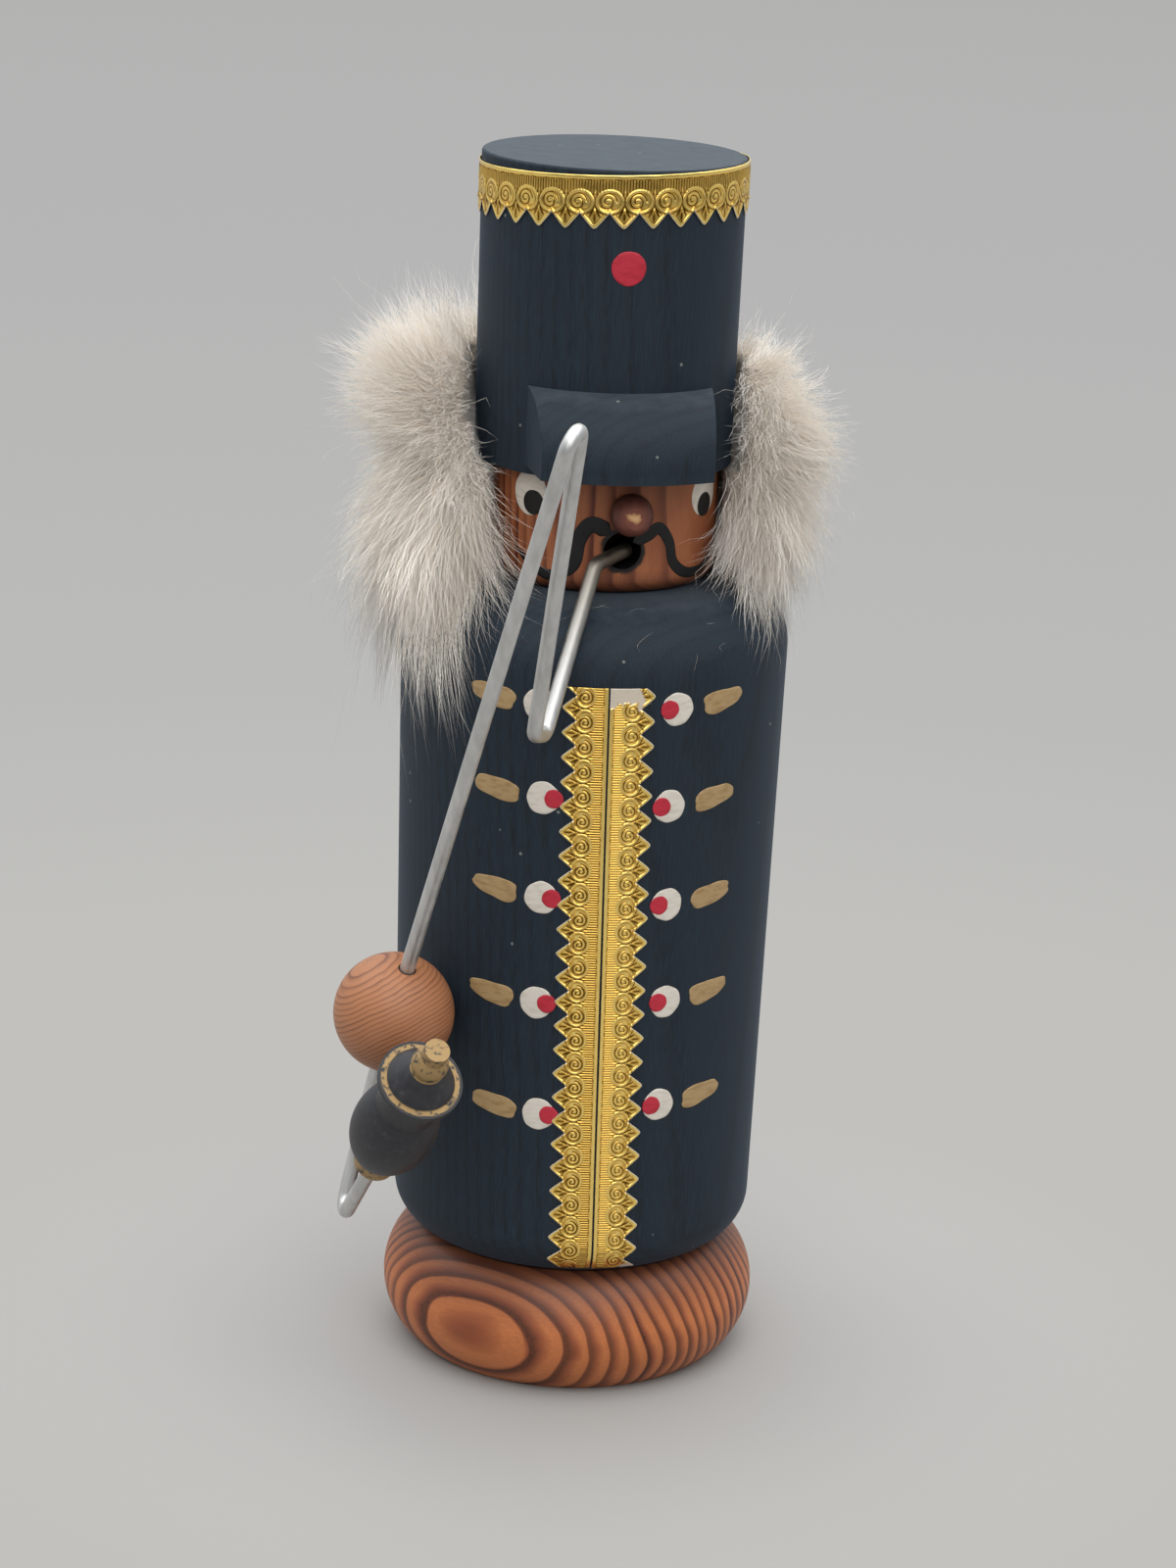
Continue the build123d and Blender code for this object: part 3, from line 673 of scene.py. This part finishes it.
def foil_trim(name, teeth, length, pitch, width, depth, place, lag=0.0, torn=None, rows=40, columns=44):
    """A strip of embossed foil: a grid, pressed and toothed, laid on the wood by place(share, rise, lift)."""
    bpy.ops.mesh.primitive_grid_add(x_subdivisions=teeth * columns, y_subdivisions=rows, size=1.0)
    strip = bpy.context.object
    strip.name = name
    flat = points_of(strip)
    share = flat[:, 0] + 0.5
    step = (share * length - lag) / pitch
    rise = (flat[:, 1] + 0.5) * (width - depth * tooth_side(step))
    height, groove_shade_share, margin = emboss(step, rise, width, depth)
    bare = torn(share * length, rise) if torn else np.zeros(len(step))
    move_points(strip, place(share, rise, (foil_lift + height * (1 - bare)) * MM))
    # The grooves' value is painted shade, which darkens the foil's colour in its grooves
    for attribute, values in (("groove_shade", groove_shade_share), ("margin", margin), ("bare", bare)):
        share_along(strip, attribute, values)
    wall = strip.modifiers.new("paper", "SOLIDIFY")
    wall.thickness = foil_paper * MM
    wall.offset = -1.0
    bpy.ops.object.modifier_apply(modifier=wall.name)
    close_shell(merge=same_point)
    return strip


# %% Foil finish
# Pressed foil is a bright mirror on its ridges, its grooves are painted dark brown as shade, with a pale line of
# paper at the cut
creases_per_mm = 0.5
foil, tree, shader = finish("gold foil on paper", {"Metallic": 1.0})
groove_shade, margin, bare = (
    add(tree, "Attribute", attribute_name=name).outputs["Fac"] for name in ("groove_shade", "margin", "bare")
)
spot = add(tree, "TexCoord").outputs["Object"]
crease = add(tree, "TexNoise", {"Vector": spot, "Scale": creases_per_mm / MM, "Detail": 4.0})
# Painted shade: the grooves' value turns the gold dark brown
tones = [(0.0, "#ffe083"), (0.25, "#efc05c"), (0.65, "#7a5618"), (1.0, "#332004")]
gold = add(tree, "ValToRGB", {0: groove_shade}, tones)
tarnished = veil(tree, crease, (0.5, 0.8), (0.0, 0.35), gold, "#e2ab5c")
paper_edge = add(tree, "MapRange", {0: margin, 1: 0.1, 2: 0.16, 3: 1.0, 4: 0.0})
cut = add(tree, "Math", {0: paper_edge, 1: bare}, operation="MAXIMUM")
colour = add(tree, "Mix", {0: cut, 6: tarnished, 7: linear("#cbbfae")}, data_type="RGBA")
metallic = add(tree, "MapRange", {0: cut, 3: 1.0, 4: 0.2})
rough = add(tree, "MapRange", {0: crease, 1: 0.3, 2: 0.7, 3: 0.22, 4: 0.36})
plug(shader, {"Base Color": colour, "Metallic": metallic, "Roughness": rough})

# %% Band round the hat
band_low, band_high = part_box("hat_band")
band_teeth = 29
band_tooth_depth = 2.4
band_width = (band_high.z - band_low.z) / MM
band_length = 2 * math.pi * float(hat_radius((band_low.z + band_high.z) / 2)) / MM
band_start = -2.6 - 180.0
band_tilt = (0.75, 0.15)


def on_hat(share, rise, lift):
    """Round the hat from the back, with the teeth hanging down; the band was glued on a little askew."""
    angle = np.radians(band_start + share * 360.0)
    seen = angle + math.radians(camera_turn)
    height = band_high.z - rise * MM + (band_tilt[0] * np.sin(seen) + band_tilt[1] * np.cos(seen)) * MM
    return place_on_turning(hat_radius, angle * hat_radius(height), height, lift)


band_pitch = band_length / band_teeth
hat_trim = foil_trim(
    "foil_hat_band", band_teeth, band_length, band_pitch, band_width, band_tooth_depth, on_hat, columns=40
)
settle(hat_trim, foil, "gold_foil", "hat_band")

# %% Strips down the coat
strip_teeth = 24
strip_tooth_depth = 2.2
strip_seam = 0.3
strip_lean = (0.15, -1.4)
right_strip_lag = 2.0
strip_low, strip_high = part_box("coat_trim_left")
strip_length = (strip_high.z - strip_low.z) / MM


def torn_corner(along, rise):
    """Where the foil has come off the paper: at the right strip's top, and a nick at its lower corner."""
    down = strip_length - along
    ragged = 0.2 * np.sin(4.1 * rise) + 0.14 * np.sin(9.7 * rise + 1.0)
    depth = np.where(rise < 1.2, 3.1, 2.45) + ragged
    patch = within(down, -1.0, depth, 0.03) * within(rise, -1.0, 4.7 + 0.45 * down, 0.03)
    tongue = within(down, 1.0, 3.6, 0.05) * within(rise, 4.35, 5.1, 0.04)
    nick = within(along, -1.0, 0.9, 0.05) * within(rise, 4.6, 9.0, 0.1)
    return np.maximum.reduce([patch, tongue, nick])


for side, node_name, lag, torn in (
    (-1, "coat_trim_left", 0.0, None),
    (1, "coat_trim_right", right_strip_lag, torn_corner),
):

    def on_coat(share, rise, lift):
        """Up the coat from the hem, with the teeth away from the seam, which leans a little."""
        height = strip_low.z + share * strip_length * MM
        seam = side * strip_seam / 2 + strip_lean[0] + (strip_lean[1] - strip_lean[0]) * share
        return place_on_turning(coat_radius, (seam + side * rise) * MM, height, lift)

    strip = foil_trim(
        f"foil_{node_name}", strip_teeth, strip_length, die_pitch, die_width, strip_tooth_depth, on_coat, lag, torn
    )
    settle(strip, foil, "gold_foil", node_name)

# %% [markdown]
# ## Paint by hand
# Buttons, cords, eyes and moustache are thick water paint from a brush. They could be a mask on the wood, as
# the mouth is, but a dab of paint has a body that catches light. Each dab starts as a ball that is pressed
# flat: its rim stays round, as a drop of paint dries. A stroke is the same ball drawn out along a line.
# Every dab is a little uneven, as a hand leaves it.


# %% Dabs
def new_ball(segments, rings):
    """A new unit ball, its points, their way from pole to pole (0 to 1) and their distance from its axis."""
    bpy.ops.mesh.primitive_uv_sphere_add(segments=segments, ring_count=rings, radius=1.0)
    piece = bpy.context.object
    ball = points_of(piece)
    way = np.arccos(np.clip(ball[:, 2], -1, 1)) / math.pi
    return piece, ball, way, np.hypot(ball[:, 0], ball[:, 1])


def paint_dab(
    radius_at, angle, height, size, lift=0.0, thick=0.14, tilt=0.0, taper=0.0, unrest=0.01, seed=0, blunt=2.0
):
    """One dab of paint: size, lift and thickness in mm, angle and tilt in degrees; blunt 2 is an oval."""
    dab, ball, _, _ = new_ball(segments=56, rings=14)
    around = np.arctan2(ball[:, 1], ball[:, 0])
    square = (np.abs(np.cos(around)) ** blunt + np.abs(np.sin(around)) ** blunt) ** (-1 / blunt)
    ragged = square * (1 + unrest * (np.sin(3 * around + seed) + 0.6 * np.sin(7 * around + 2.3 * seed)))
    broad = ball[:, 0] * ragged * size[0] / 2
    high = ball[:, 1] * ragged * size[1] / 2 * (1 + taper * ball[:, 0])
    cos_tilt, sin_tilt = math.cos(math.radians(tilt)), math.sin(math.radians(tilt))
    across = (broad * cos_tilt - high * sin_tilt) * MM
    level = height * MM + (broad * sin_tilt + high * cos_tilt) * MM
    raised = (lift + thick * np.sign(ball[:, 2]) * np.abs(ball[:, 2]) ** 0.4) * MM
    start = math.radians(angle) * radius_at(np.array([height * MM]))[0]
    move_points(dab, place_on_turning(radius_at, start + across, level, raised))
    return dab


def join_paint(name, dabs, material, slot):
    """Join dabs of one colour to one piece that rides on the figure."""
    bpy.ops.object.select_all(action="DESELECT")
    for dab in dabs:
        dab.select_set(True)
    bpy.context.view_layer.objects.active = dabs[0]
    if len(dabs) > 1:
        bpy.ops.object.join()
    joined = bpy.context.object
    joined.name = name
    close_shell()
    settle(joined, material, slot)


# %% Paint finishes
# Water paint dries almost matte, and thin streaks show which way the brush went
paint_body = {"IOR": 1.48, "Specular IOR Level": 0.4}
streaks_per_mm = (0.5, 0.5, 1.6)
paints = []
for name, thin_coat, full_coat, rough in (
    ("white water paint", "#beb6a9", "#ccc4b9", 0.5),
    ("red water paint", "#a01f2d", "#b02537", 0.5),
    ("black water paint", "#0c0b0b", "#131212", 0.6),
    ("gold-bronze water paint", "#8d714a", "#a1865e", 0.5),
):
    tones = [(0.32, thin_coat), (0.55, full_coat)]
    paint, tree, shader, streak, _ = streaked(
        name, paint_body, streaks_per_mm, 4.0, tones, (0.0, 1.0), (rough - 0.1, rough + 0.1)
    )
    plug(shader, {"Normal": add(tree, "Bump", {"Height": streak, "Strength": 0.25, "Distance": 0.05 * MM})})
    paints.append(paint)
white_paint, red_paint, black_paint, gold_paint = paints

# %% Buttons and cords on the coat
# One row after another from the top: degrees from the camera's middle and height in mm, left and right
button_rows = (
    ((-14.8, 117.9), (25.5, 117.6)),
    ((-12.9, 102.8), (24.6, 101.7)),
    ((-12.5, 86.3), (25.5, 85.3)),
    ((-12.8, 68.6), (26.9, 68.8)),
    ((-10.9, 49.6), (26.6, 51.1)),
)
button_size = (5.4, 5.4)
pip_size = (3.1, 3.1)
pip_lift = 0.1
pip_towards_seam = (3.2, -2.5)
cord_size = (8.0, 3.4)
cord_from_button = (-14.8, 16.0)
cord_rise = 0.6
cord_tilt = 9.0
cord_taper = -0.22
whites, reds, cords = [], [], []
for row, pair in enumerate(button_rows):
    for side, (angle, height) in enumerate(pair):
        seed = 2 * row + side
        outward = 1 if side else -1
        angle = angle - camera_turn
        whites.append(paint_dab(coat_radius, angle, height, button_size, unrest=0.02, seed=seed))
        pip_angle = angle + pip_towards_seam[side]
        reds.append(paint_dab(coat_radius, pip_angle, height, pip_size, pip_lift, unrest=0.02, seed=seed))
        cord = dict(thick=0.12, tilt=outward * cord_tilt, taper=outward * cord_taper, unrest=0.035, blunt=3.2)
        cord_angle = angle + cord_from_button[side]
        cords.append(paint_dab(coat_radius, cord_angle, height + cord_rise, cord_size, seed=seed, **cord))
join_paint("button_whites", whites, white_paint, "coat_stain")
join_paint("button_pips", reds, red_paint, "coat_stain")
join_paint("coat_cords", cords, gold_paint, "coat_stain")

# %% Dot on the hat and eyes
join_paint("hat_dot", [paint_dab(hat_radius, 0.4, 185.0, (5.4, 5.4))], red_paint, "coat_stain")
eye_dabs = [
    paint_dab(head_radius, -43.6, 148.2, (6.3, 7.2)),
    paint_dab(head_radius, 53.4, 147.9, (7.2, 7.0), seed=2),
]
join_paint("eye_whites", eye_dabs, white_paint, "face_wood")
pupil_dabs = [
    paint_dab(head_radius, -41.3, 146.8, (3.8, 4.0), pip_lift),
    paint_dab(head_radius, 53.1, 146.3, (4.1, 3.9), pip_lift, seed=2),
]
join_paint("eye_pupils", pupil_dabs, black_paint, "face_wood")


# %% Brush strokes
def smooth_line(places, values):
    """A smooth curve (Catmull-Rom) through evenly spaced values, read at places from 0 to 1."""
    values = np.asarray(values, dtype=float)
    last = len(values) - 1
    ends = np.concatenate([[2 * values[0] - values[1]], values, [2 * values[-1] - values[-2]]])
    spot = np.clip(np.asarray(places) * last, 0, last - 1e-9)
    index = spot.astype(int)
    t = spot - index
    a, b, c, d = ends[index], ends[index + 1], ends[index + 2], ends[index + 3]
    return 0.5 * (2 * b + (c - a) * t + (2 * a - 5 * b + 4 * c - d) * t**2 + (3 * b - a - 3 * c + d) * t**3)


def paint_stroke(radius_at, line, thick=0.13, end_share=0.16):
    """A brush stroke through points: degrees from the front, height in mm and the stroke's width there in mm."""
    stroke, ball, way, girth = new_ball(segments=14, rings=90)
    fine = np.linspace(0.0, 1.0, 400)
    angles, heights, broad = (smooth_line(fine, values) for values in zip(*line))
    run = math.radians(1.0) * radius_at(np.array([line[0][1] * MM]))[0] / MM
    tangent = np.stack([np.gradient(angles) * run, np.gradient(heights)], axis=1)
    tangent /= np.linalg.norm(tangent, axis=1)[:, None]
    round_end = np.minimum(1.0, girth / end_share) / np.maximum(girth, 1e-9)
    offset = ball[:, 0] * round_end * np.interp(way, fine, broad) / 2
    raised = ball[:, 1] * round_end * thick * MM
    across = np.interp(way, fine, angles) * run - offset * np.interp(way, fine, tangent[:, 1])
    level = np.interp(way, fine, heights) + offset * np.interp(way, fine, tangent[:, 0])
    move_points(stroke, place_on_turning(radius_at, across * MM, level * MM, raised))
    return stroke


# %% Moustache
moustache_left = [
    (-1.0, 142.9, 2.8), (-11.0, 144.3, 2.6), (-16.9, 141.8, 2.5), (-18.8, 138.0, 2.2),
    (-24.9, 136.2, 2.0), (-31.9, 135.6, 1.8), (-41.9, 136.8, 1.3), (-51.6, 139.4, 0.5),
]
moustache_right = [
    (9.0, 141.6, 2.2), (16.7, 142.6, 2.1), (22.8, 143.6, 2.0), (28.8, 141.2, 1.9),
    (31.9, 137.8, 1.9), (40.9, 135.8, 1.8), (54.5, 136.0, 1.4), (63.6, 138.2, 0.5),
]
strokes = [paint_stroke(head_radius, line) for line in (moustache_left, moustache_right)]
join_paint("moustache", strokes, black_paint, "face_wood")

# %% [markdown]
# ## Fur
# The hair is a strip of rabbit fur, glued round the back of the head. Particle hair is the usual way, but a
# part that others reuse needs plain meshes, so each hair is the brush stroke's ball again, drawn out thin
# along a curve. Hairs grow in locks: the upper ones stand up and out, the lower ones fall over the
# shoulders. A small lumpy cushion underneath keeps the wood from showing through.
# Two tables say how far out and how high the tips reach, from the lowest row of roots to the highest, at the
# left cheek, the back and the right cheek.

# %% The lie of the fur
fur_rows = [0.0, 0.12, 0.25, 0.40, 0.52, 0.65, 0.80, 0.92, 1.0]
fur_rounds = [0.10, 0.50, 0.92]
fur_tip_radius = [
    [34.0, 38.0, 40.5, 39.5, 35.5, 36.5, 41.5, 37.5, 30.5],
    [33.0, 36.0, 37.5, 37.0, 35.0, 36.0, 35.0, 30.0, 25.0],
    [28.0, 30.0, 32.5, 34.0, 34.5, 35.5, 34.5, 31.5, 28.0],
]
fur_tip_height = [
    [109.0, 117.0, 128.0, 139.0, 147.0, 155.0, 164.0, 172.0, 176.0],
    [117.0, 122.0, 131.0, 140.0, 148.0, 155.0, 163.0, 169.0, 172.0],
    [127.0, 127.5, 131.0, 138.0, 146.0, 152.5, 158.5, 163.0, 166.0],
]


def by_place(table, row, round_share):
    """Read a table of rows (low to high) at places round the head (left cheek, back, right cheek)."""
    columns = np.stack([np.interp(row, fur_rows, line) for line in table])
    spot = np.interp(round_share, fur_rounds, [0.0, 1.0, 2.0])
    first = np.minimum(spot.astype(int), 1)
    mix = spot - first
    pick = np.arange(len(row))
    return columns[first, pick] * (1 - mix) + columns[first + 1, pick] * mix


def root_angle(row, round_share):
    """Angle in degrees from the front of a place on the strip, which begins further back at the hat."""
    left = np.interp(row, [0.4, 0.6, 1.0], [-64.0, -71.0, -82.0])
    right = np.interp(row, [0.4, 0.6, 1.0], [-291.0, -293.0, -290.0])
    return left + (right - left) * round_share


print("tips reach out to", np.max(fur_tip_radius), "mm and up to", np.max(fur_tip_height), "mm")

# %% Keeping hair out of the wood
shoulder_centre = (20.6, 122.0)
shoulder_round = 11.0
coat_top_mm = coat_top / MM
hat_rim_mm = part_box("hat")[0].z / MM


def clear_of_wood(radius, height, gap):
    """Move places (in mm) that lie in the hat, the head or the coat out to its surface."""
    upper = np.where(height > hat_rim_mm, hat_radius(height * MM), head_radius(height * MM)) / MM + gap
    above = height > coat_top_mm + gap
    radius = np.where(above, np.maximum(radius, upper), radius)
    out, up = radius - shoulder_centre[0], height - shoulder_centre[1]
    grow = np.maximum((shoulder_round + gap) / np.maximum(np.hypot(out, up), 1e-6), 1.0)
    on_round = ~above & (out > 0) & (up > 0)
    on_top = ~above & (out <= 0)
    on_side = ~above & (out > 0) & (up <= 0)
    side = np.maximum(radius, coat_radius(height * MM) / MM + gap)
    radius = np.where(on_round, shoulder_centre[0] + out * grow, np.where(on_side, side, radius))
    height = np.where(on_round, shoulder_centre[1] + up * grow, np.where(on_top, coat_top_mm + gap, height))
    return radius, height


print("coat's top and hat's rim in mm:", round(coat_top_mm, 1), round(hat_rim_mm, 1))

# %% Hairs from locks
root_low, root_spread = 138.0, 29.0  # mm, the lowest row of roots and the strip's height
root_on_head, root_on_hat = 19.6, 21.6
nape_share, nape_top = 0.07, 0.12  # few locks grow in the lowest rows
left_share = 0.53
lock_spread = (2.1, 3.1, 6.5)  # mm out, mm up and degrees round, at a lock's tip
hair_spread = (1.0, 1.5, 3.0)  # the same at a hair's tip, within its lock
cheek_swing = 15.0  # degrees by which low hairs turn to the face


print("roots stand from", root_low, "to", root_low + root_spread, "mm")


def lay_hairs(rng, count, locks, loose, reach, edge=0.5, forward=0.0):
    """Corner points of hairs as arrays of radius, height and angle: root, two handles and tip."""
    in_nape = rng.random(locks) < nape_share
    lock_row = np.where(in_nape, nape_top * rng.random(locks), nape_top + (1.0 - nape_top) * rng.random(locks))
    from_face = edge * rng.random(locks) ** 1.5
    lock_round = np.where(rng.random(locks) < left_share, from_face, 1.0 - from_face)
    lock_shift = rng.normal(0.0, 1.0, (locks, 3)) * lock_spread
    lock = rng.integers(0, locks, count)
    row = np.clip(lock_row[lock] + rng.normal(0.0, 0.035, count), 0.0, 1.0)
    place = np.clip(lock_round[lock] + rng.normal(0.0, 0.012, count), 0.0, 1.0)
    root_height = root_low + root_spread * row
    root_radius = np.where(root_height > hat_rim_mm, root_on_hat, root_on_head) + 0.4 * rng.random(count)
    angle = root_angle(row, place)
    low = np.clip(1.0 - row / 0.45, 0.0, 1.0)
    to_face = np.clip(1.0 - place / 0.16, 0.0, 1.0) - np.clip(1.0 - (1.0 - place) / 0.14, 0.0, 1.0)
    ends = rng.normal(0.0, 1.0, (count, 3)) * hair_spread * loose
    tip_row = np.clip(row + rng.normal(0.0, 0.06, locks)[lock], 0.0, 1.0)
    tip_radius = by_place(fur_tip_radius, tip_row, place) + lock_shift[lock, 0] + ends[:, 0]
    tip_height = by_place(fur_tip_height, tip_row, place) + lock_shift[lock, 1] + ends[:, 1]
    swing = (cheek_swing * low + forward) * to_face + lock_shift[lock, 2] + ends[:, 2]
    share = reach[0] + (reach[1] - reach[0]) * np.sqrt(rng.random(count)) - 0.4 * low * rng.random(count) ** 2
    wide = (tip_radius - root_radius) * share
    tall = (tip_height - root_height) * share
    fall = np.clip(1.0 - 2.0 * row, 0.0, 1.0)
    flat = np.zeros(count)
    radius = root_radius + np.stack([flat, 0.55 * wide, (0.85 + 0.2 * fall) * wide, wide])
    height = root_height + np.stack([flat, 0.18 * tall + 3.5 * fall, (0.62 - 0.1 * fall) * tall, tall])
    turn = angle + np.stack([flat, 0.15 * swing, 0.6 * swing, swing])
    return radius, height, turn


# %% Combing the hairs
hair_rings = 5


def comb_hairs(rng, corners, curl, gap=(0.25, 1.35)):
    """Paths of the hairs, six places each, in metres, with a gap (in mm) to the wood."""
    along = np.linspace(0.0, 1.0, hair_rings + 1)
    bend = np.stack([(1 - along) ** 3, 3 * along * (1 - along) ** 2, 3 * along**2 * (1 - along), along**3])
    radius, height, turn = (np.einsum("ch,ct->ht", corner, bend) for corner in corners)
    count = len(radius)
    along = along[None, :, None]
    waves = rng.random((count, 1, 3)) * 2 * math.pi + along * (3.0 + 7.0 * rng.random((count, 1, 3)))
    wobble = np.sin(waves) * along * curl * (0.3 + rng.random((count, 1, 3)))
    radius = radius + wobble[:, :, 0]
    height = height + wobble[:, :, 1]
    turn = turn + wobble[:, :, 2] * 1.8
    radius, height = clear_of_wood(radius, height, gap[0] + (gap[1] - gap[0]) * rng.random((count, 1)))
    angle = np.radians(turn)
    return np.stack([np.sin(angle) * radius, -np.cos(angle) * radius, height], axis=2) * MM


# %% Fur finish
# White hair is bright and soft: cream at the root, whiter at the tip, with a pale sheen where light grazes it
softness = {"Roughness": 0.6, "Sheen Weight": 0.5, "Sheen Roughness": 0.6}
fur_finish, tree, shader = finish("white rabbit fur", softness)
along, tint = (add(tree, "Attribute", attribute_name=name).outputs["Fac"] for name in ("along", "tint"))
length_tones = [(0.0, "#f8eadb"), (0.3, "#fcf3e7"), (0.65, "#fef8ef"), (1.0, "#fffcf7")]
hair_tones = [(0.0, "#f8eee2"), (0.4, "#fdfaf5"), (1.0, "#ffffff")]
lengthwise = add(tree, "ValToRGB", {0: along}, length_tones)
each = add(tree, "ValToRGB", {0: tint}, hair_tones)
colour = add(tree, "Mix", {0: 1.0, 6: lengthwise, 7: each}, data_type="RGBA", blend_type="MULTIPLY")
plug(shader, {"Base Color": colour})


# %% One hair, many times
tints = 64


def lay_out_hairs(piece, tint, along, side):
    """Unwrap the hairs on a sheet with a column for each tint, from root to tip, for a later bake."""
    corner = np.empty(len(piece.data.loops), dtype=np.int64)
    piece.data.loops.foreach_get("vertex_index", corner)
    across = (np.repeat(tint, len(side)) + 0.1 + 0.8 * np.tile(side, len(tint))) / tints
    sheet = piece.data.uv_layers.new(name="OFBake")
    sheet.data.foreach_set("uv", np.stack([across[corner], 0.02 + 0.96 * along[corner]], axis=1).ravel())


def draw_hairs(name, rng, paths, thick):
    """One piece of many hairs: a three-sided ball per hair, drawn out along its path."""
    count = len(paths)
    piece, ball, way, girth = new_ball(segments=3, rings=hair_rings)
    piece.name = name
    copies = piece.modifiers.new("hairs", "ARRAY")
    copies.count = count
    copies.use_relative_offset = False
    bpy.ops.object.modifier_apply(modifier=copies.name)
    ring = np.rint(way * hair_rings).astype(int)
    on_side = ball[:, :2] / np.maximum(girth, 1e-9)[:, None] * (girth > 1e-6)[:, None]
    tangent = np.gradient(paths, axis=1)
    tangent /= np.maximum(np.linalg.norm(tangent, axis=2, keepdims=True), 1e-12)
    first = np.cross(tangent, np.array([0.37, 0.21, 0.9]))
    first /= np.maximum(np.linalg.norm(first, axis=2, keepdims=True), 1e-12)
    second = np.cross(tangent, first)
    taper = 1.0 - 0.72 * np.linspace(0.0, 1.0, hair_rings + 1) ** 1.4
    half = thick * MM * (0.75 + 0.5 * rng.random((count, 1))) * taper
    sideways = first[:, ring] * on_side[None, :, 0:1] + second[:, ring] * on_side[None, :, 1:2]
    move_points(piece, (paths[:, ring] + half[:, ring, None] * sideways).reshape(-1, 3))
    tint = rng.integers(0, tints, count)
    along = np.tile(ring / hair_rings, count)
    share_along(piece, "along", along)
    share_along(piece, "tint", np.repeat(tint / (tints - 1), len(ball)))
    lay_out_hairs(piece, tint, along, np.arctan2(on_side[:, 1], on_side[:, 0]) / (2 * math.pi) + 0.5)
    bpy.ops.object.shade_smooth()
    settle(piece, fur_finish, "white_fur", "fur_hair")


# %% Cushion under the hairs
cushion_centre = (23.6, 150.0)  # radius and height in mm
cushion_half = (2.6, 10.0)
cushion_start, cushion_round = -76.0, -216.0  # degrees from the front
cushion_gap = 0.3
cushion, ball, way, girth = new_ball(segments=28, rings=72)
cushion.name = "fur_cushion"
swell = 1 + 0.08 * np.sin(9 * way * math.pi) + 0.06 * np.sin(23 * way * math.pi + 3 * ball[:, 1])
swell = swell * np.minimum(1.0, girth / 0.6) / np.maximum(girth, 1e-9)
radius, height = (
    middle + half * ball[:, axis] * swell for axis, (middle, half) in enumerate(zip(cushion_centre, cushion_half))
)
radius, height = clear_of_wood(radius, height, cushion_gap)
angle = np.radians(cushion_start + cushion_round * way)
move_points(cushion, np.stack([np.sin(angle) * radius, -np.cos(angle) * radius, height], axis=1) * MM)
share_along(cushion, "along", np.full(len(ball), 0.12))
share_along(cushion, "tint", 0.5 + 0.5 * ball[:, 1])
close_shell()
settle(cushion, fur_finish, "white_fur", "fur_hair")

# %% Six bundles of hair and the woolly under-hair
# Each group: name, seed, hairs, locks, looseness, reach, curl and half a hair's thickness in mm. Hairs are
# drawn about 0.1 mm thick, coarser than rabbit hair, so that they show and stay few
hair_groups = [(f"fur_bundle_{n + 1}", 100 + n, 7000, 110, 0.9, (0.5, 1.06), 1.0, 0.05) for n in range(6)]
hair_groups.append(("fur_wool", 190, 8000, 2500, 3.0, (0.25, 0.75), 1.6, 0.045))
for name, seed, count, locks, loose, reach, curl, thick in hair_groups:
    rng = np.random.default_rng(seed)
    draw_hairs(name, rng, comb_hairs(rng, lay_hairs(rng, count, locks, loose, reach), curl), thick)

# %% Stray hairs, the hat's edge and lint on the shoulders
lint_count = 12
lint_lift = 0.1
rng = np.random.default_rng(200)
stray_paths = comb_hairs(rng, lay_hairs(rng, 800, 400, 1.6, (0.9, 1.22)), 2.0)
cheek_paths = comb_hairs(rng, lay_hairs(rng, 700, 300, 2.2, (0.3, 0.75), edge=0.03, forward=12.0), 1.5)
edge_paths = comb_hairs(rng, lay_hairs(rng, 3000, 600, 1.6, (0.2, 0.62), edge=0.06, forward=13.0), 1.0)
lint_way = np.linspace(0, 1, 4)[:, None]
lint_arc = 4 * lint_way * (1 - lint_way)
lint_slope = rng.uniform(0.15, 1.35, lint_count) + lint_way * rng.normal(0, 0.25, lint_count)
lint_slope = lint_slope + lint_arc * rng.normal(0, 0.09, lint_count)
lint_turn = rng.uniform(-25.0, 55.0, lint_count) + lint_way * rng.normal(0, 6.0, lint_count)
lint_turn = lint_turn + lint_arc * rng.normal(0, 2.5, lint_count)
lint_radius = shoulder_centre[0] + (shoulder_round + lint_lift) * np.sin(lint_slope)
lint_height = shoulder_centre[1] + (shoulder_round + lint_lift) * np.cos(lint_slope)
lint_paths = comb_hairs(rng, (lint_radius, lint_height, lint_turn), 0.12, (0.05, 0.1))
draw_hairs("fur_stray_hairs", rng, np.concatenate([stray_paths, cheek_paths]), 0.03)
draw_hairs("fur_edge_hairs", rng, edge_paths, 0.04)
draw_hairs("fur_lint", rng, lint_paths, 0.011)
